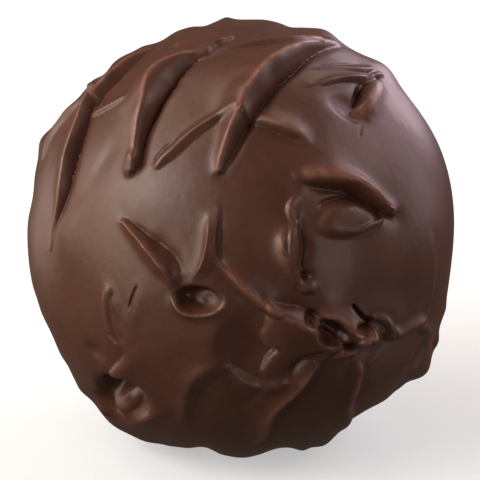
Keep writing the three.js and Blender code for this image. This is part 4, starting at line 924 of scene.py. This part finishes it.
class TruffleStageSettings(bpy.types.PropertyGroup):
    floor_size: bpy.props.FloatProperty(
        name="Floor", description="Width of the square floor", default=3.0, min=0.2, unit="LENGTH")
    floor_colour: bpy.props.FloatVectorProperty(
        name="Floor colour", description="Colour of the floor", default=(0.62, 0.70, 0.74), min=0, max=1,
        subtype="COLOR")
    floor_glow: bpy.props.FloatProperty(
        name="Floor glow", description="Light that the white floor adds of its own",
        default=0.45, min=0, max=2)
    light_strength: bpy.props.FloatProperty(
        name="Light", description="Strength of all the light, against the usual",
        default=1.0, min=0, max=5)


# ---------------------------------------------------------------- operators
class MESH_OT_truffle(bpy.types.Operator):
    """Model the truffle: a ball of folded dark chocolate coating on a small flat foot"""
    bl_idname = "mesh.truffle_add"
    bl_label = "Truffle"
    bl_options = {"REGISTER", "UNDO"}

    def execute(self, context):
        settings = context.scene.truffle
        parts = dict(folds=show_folds() + back_folds(), grooves=grooves(), lumps=lumps(),
                     strength=settings.fold_strength)
        bpy.ops.object.select_all(action="DESELECT")
        bpy.ops.mesh.primitive_ico_sphere_add(
            subdivisions=START_SUBDIVISIONS, radius=BALL_RADIUS, location=(0, 0, 0))
        piece = active_piece("truffle_coating")
        refine(piece, parts, settings.longest_edge)
        mesh = piece.data
        places, crest, _ = coated(unit(vertex_places(mesh)), parts)
        places[:, 2] = np.maximum(places[:, 2], -FOOT_DROP)
        places = fit_to_box(places, *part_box("truffle"))
        places *= settings.width / (CAD_BOX[1][0] - CAD_BOX[0][0])
        mesh.vertices.foreach_set("co", places.astype(np.float32).ravel())
        crests = mesh.attributes.new("crest", "FLOAT", "POINT")
        crests.data.foreach_set("value", crest.astype(np.float32))
        mesh.update()
        bpy.ops.object.shade_smooth()
        piece.data.materials.append(chocolate_coating(settings))
        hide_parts("truffle")
        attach(piece, "root")
        self.report({"INFO"}, f"{len(mesh.polygons)} faces")
        return {"FINISHED"}


class OBJECT_OT_truffle_stage(bpy.types.Operator):
    """Set the white floor, the soft panels, the room light and the camera"""
    bl_idname = "object.truffle_stage_add"
    bl_label = "Stage"
    bl_options = {"REGISTER", "UNDO"}

    def execute(self, context):
        settings = context.scene.truffle_stage
        bpy.ops.object.select_all(action="DESELECT")
        bpy.ops.mesh.primitive_plane_add(size=settings.floor_size, location=(0, 0, 0))
        floor = active_piece("floor")
        floor.data.materials.append(white_floor(settings))
        floor.visible_glossy = floor.visible_diffuse = False
        for number, (way, power, colour) in enumerate(PANELS, start=1):
            add_panel(f"panel {number}", way, power * settings.light_strength, colour)
        add_room(settings.light_strength)
        add_camera()
        context.scene.view_settings.view_transform = "Standard"
        return {"FINISHED"}


class VIEW3D_PT_truffle(bpy.types.Panel):
    """The truffle's sizes and colours, and the buttons that make it"""
    bl_label = "Truffle"
    bl_idname = "VIEW3D_PT_truffle"
    bl_space_type = "VIEW_3D"
    bl_region_type = "UI"
    bl_category = "Truffle"

    def draw(self, context):
        for group in (context.scene.truffle, context.scene.truffle_stage):
            for name in group.__annotations__:
                self.layout.prop(group, name)
        for operator in OPERATORS:
            self.layout.operator(operator.bl_idname)


OPERATORS = (MESH_OT_truffle, OBJECT_OT_truffle_stage)
CLASSES = (TruffleSettings, TruffleStageSettings, *OPERATORS, VIEW3D_PT_truffle)


def register():
    for cls in CLASSES:
        bpy.utils.register_class(cls)
    bpy.types.Scene.truffle = bpy.props.PointerProperty(type=TruffleSettings)
    bpy.types.Scene.truffle_stage = bpy.props.PointerProperty(type=TruffleStageSettings)


def unregister():
    del bpy.types.Scene.truffle_stage
    del bpy.types.Scene.truffle
    for cls in reversed(CLASSES):
        bpy.utils.unregister_class(cls)


def main():
    register()
    bpy.ops.mesh.truffle_add()
    bpy.ops.object.truffle_stage_add()


if __name__ == "__main__":
    main()
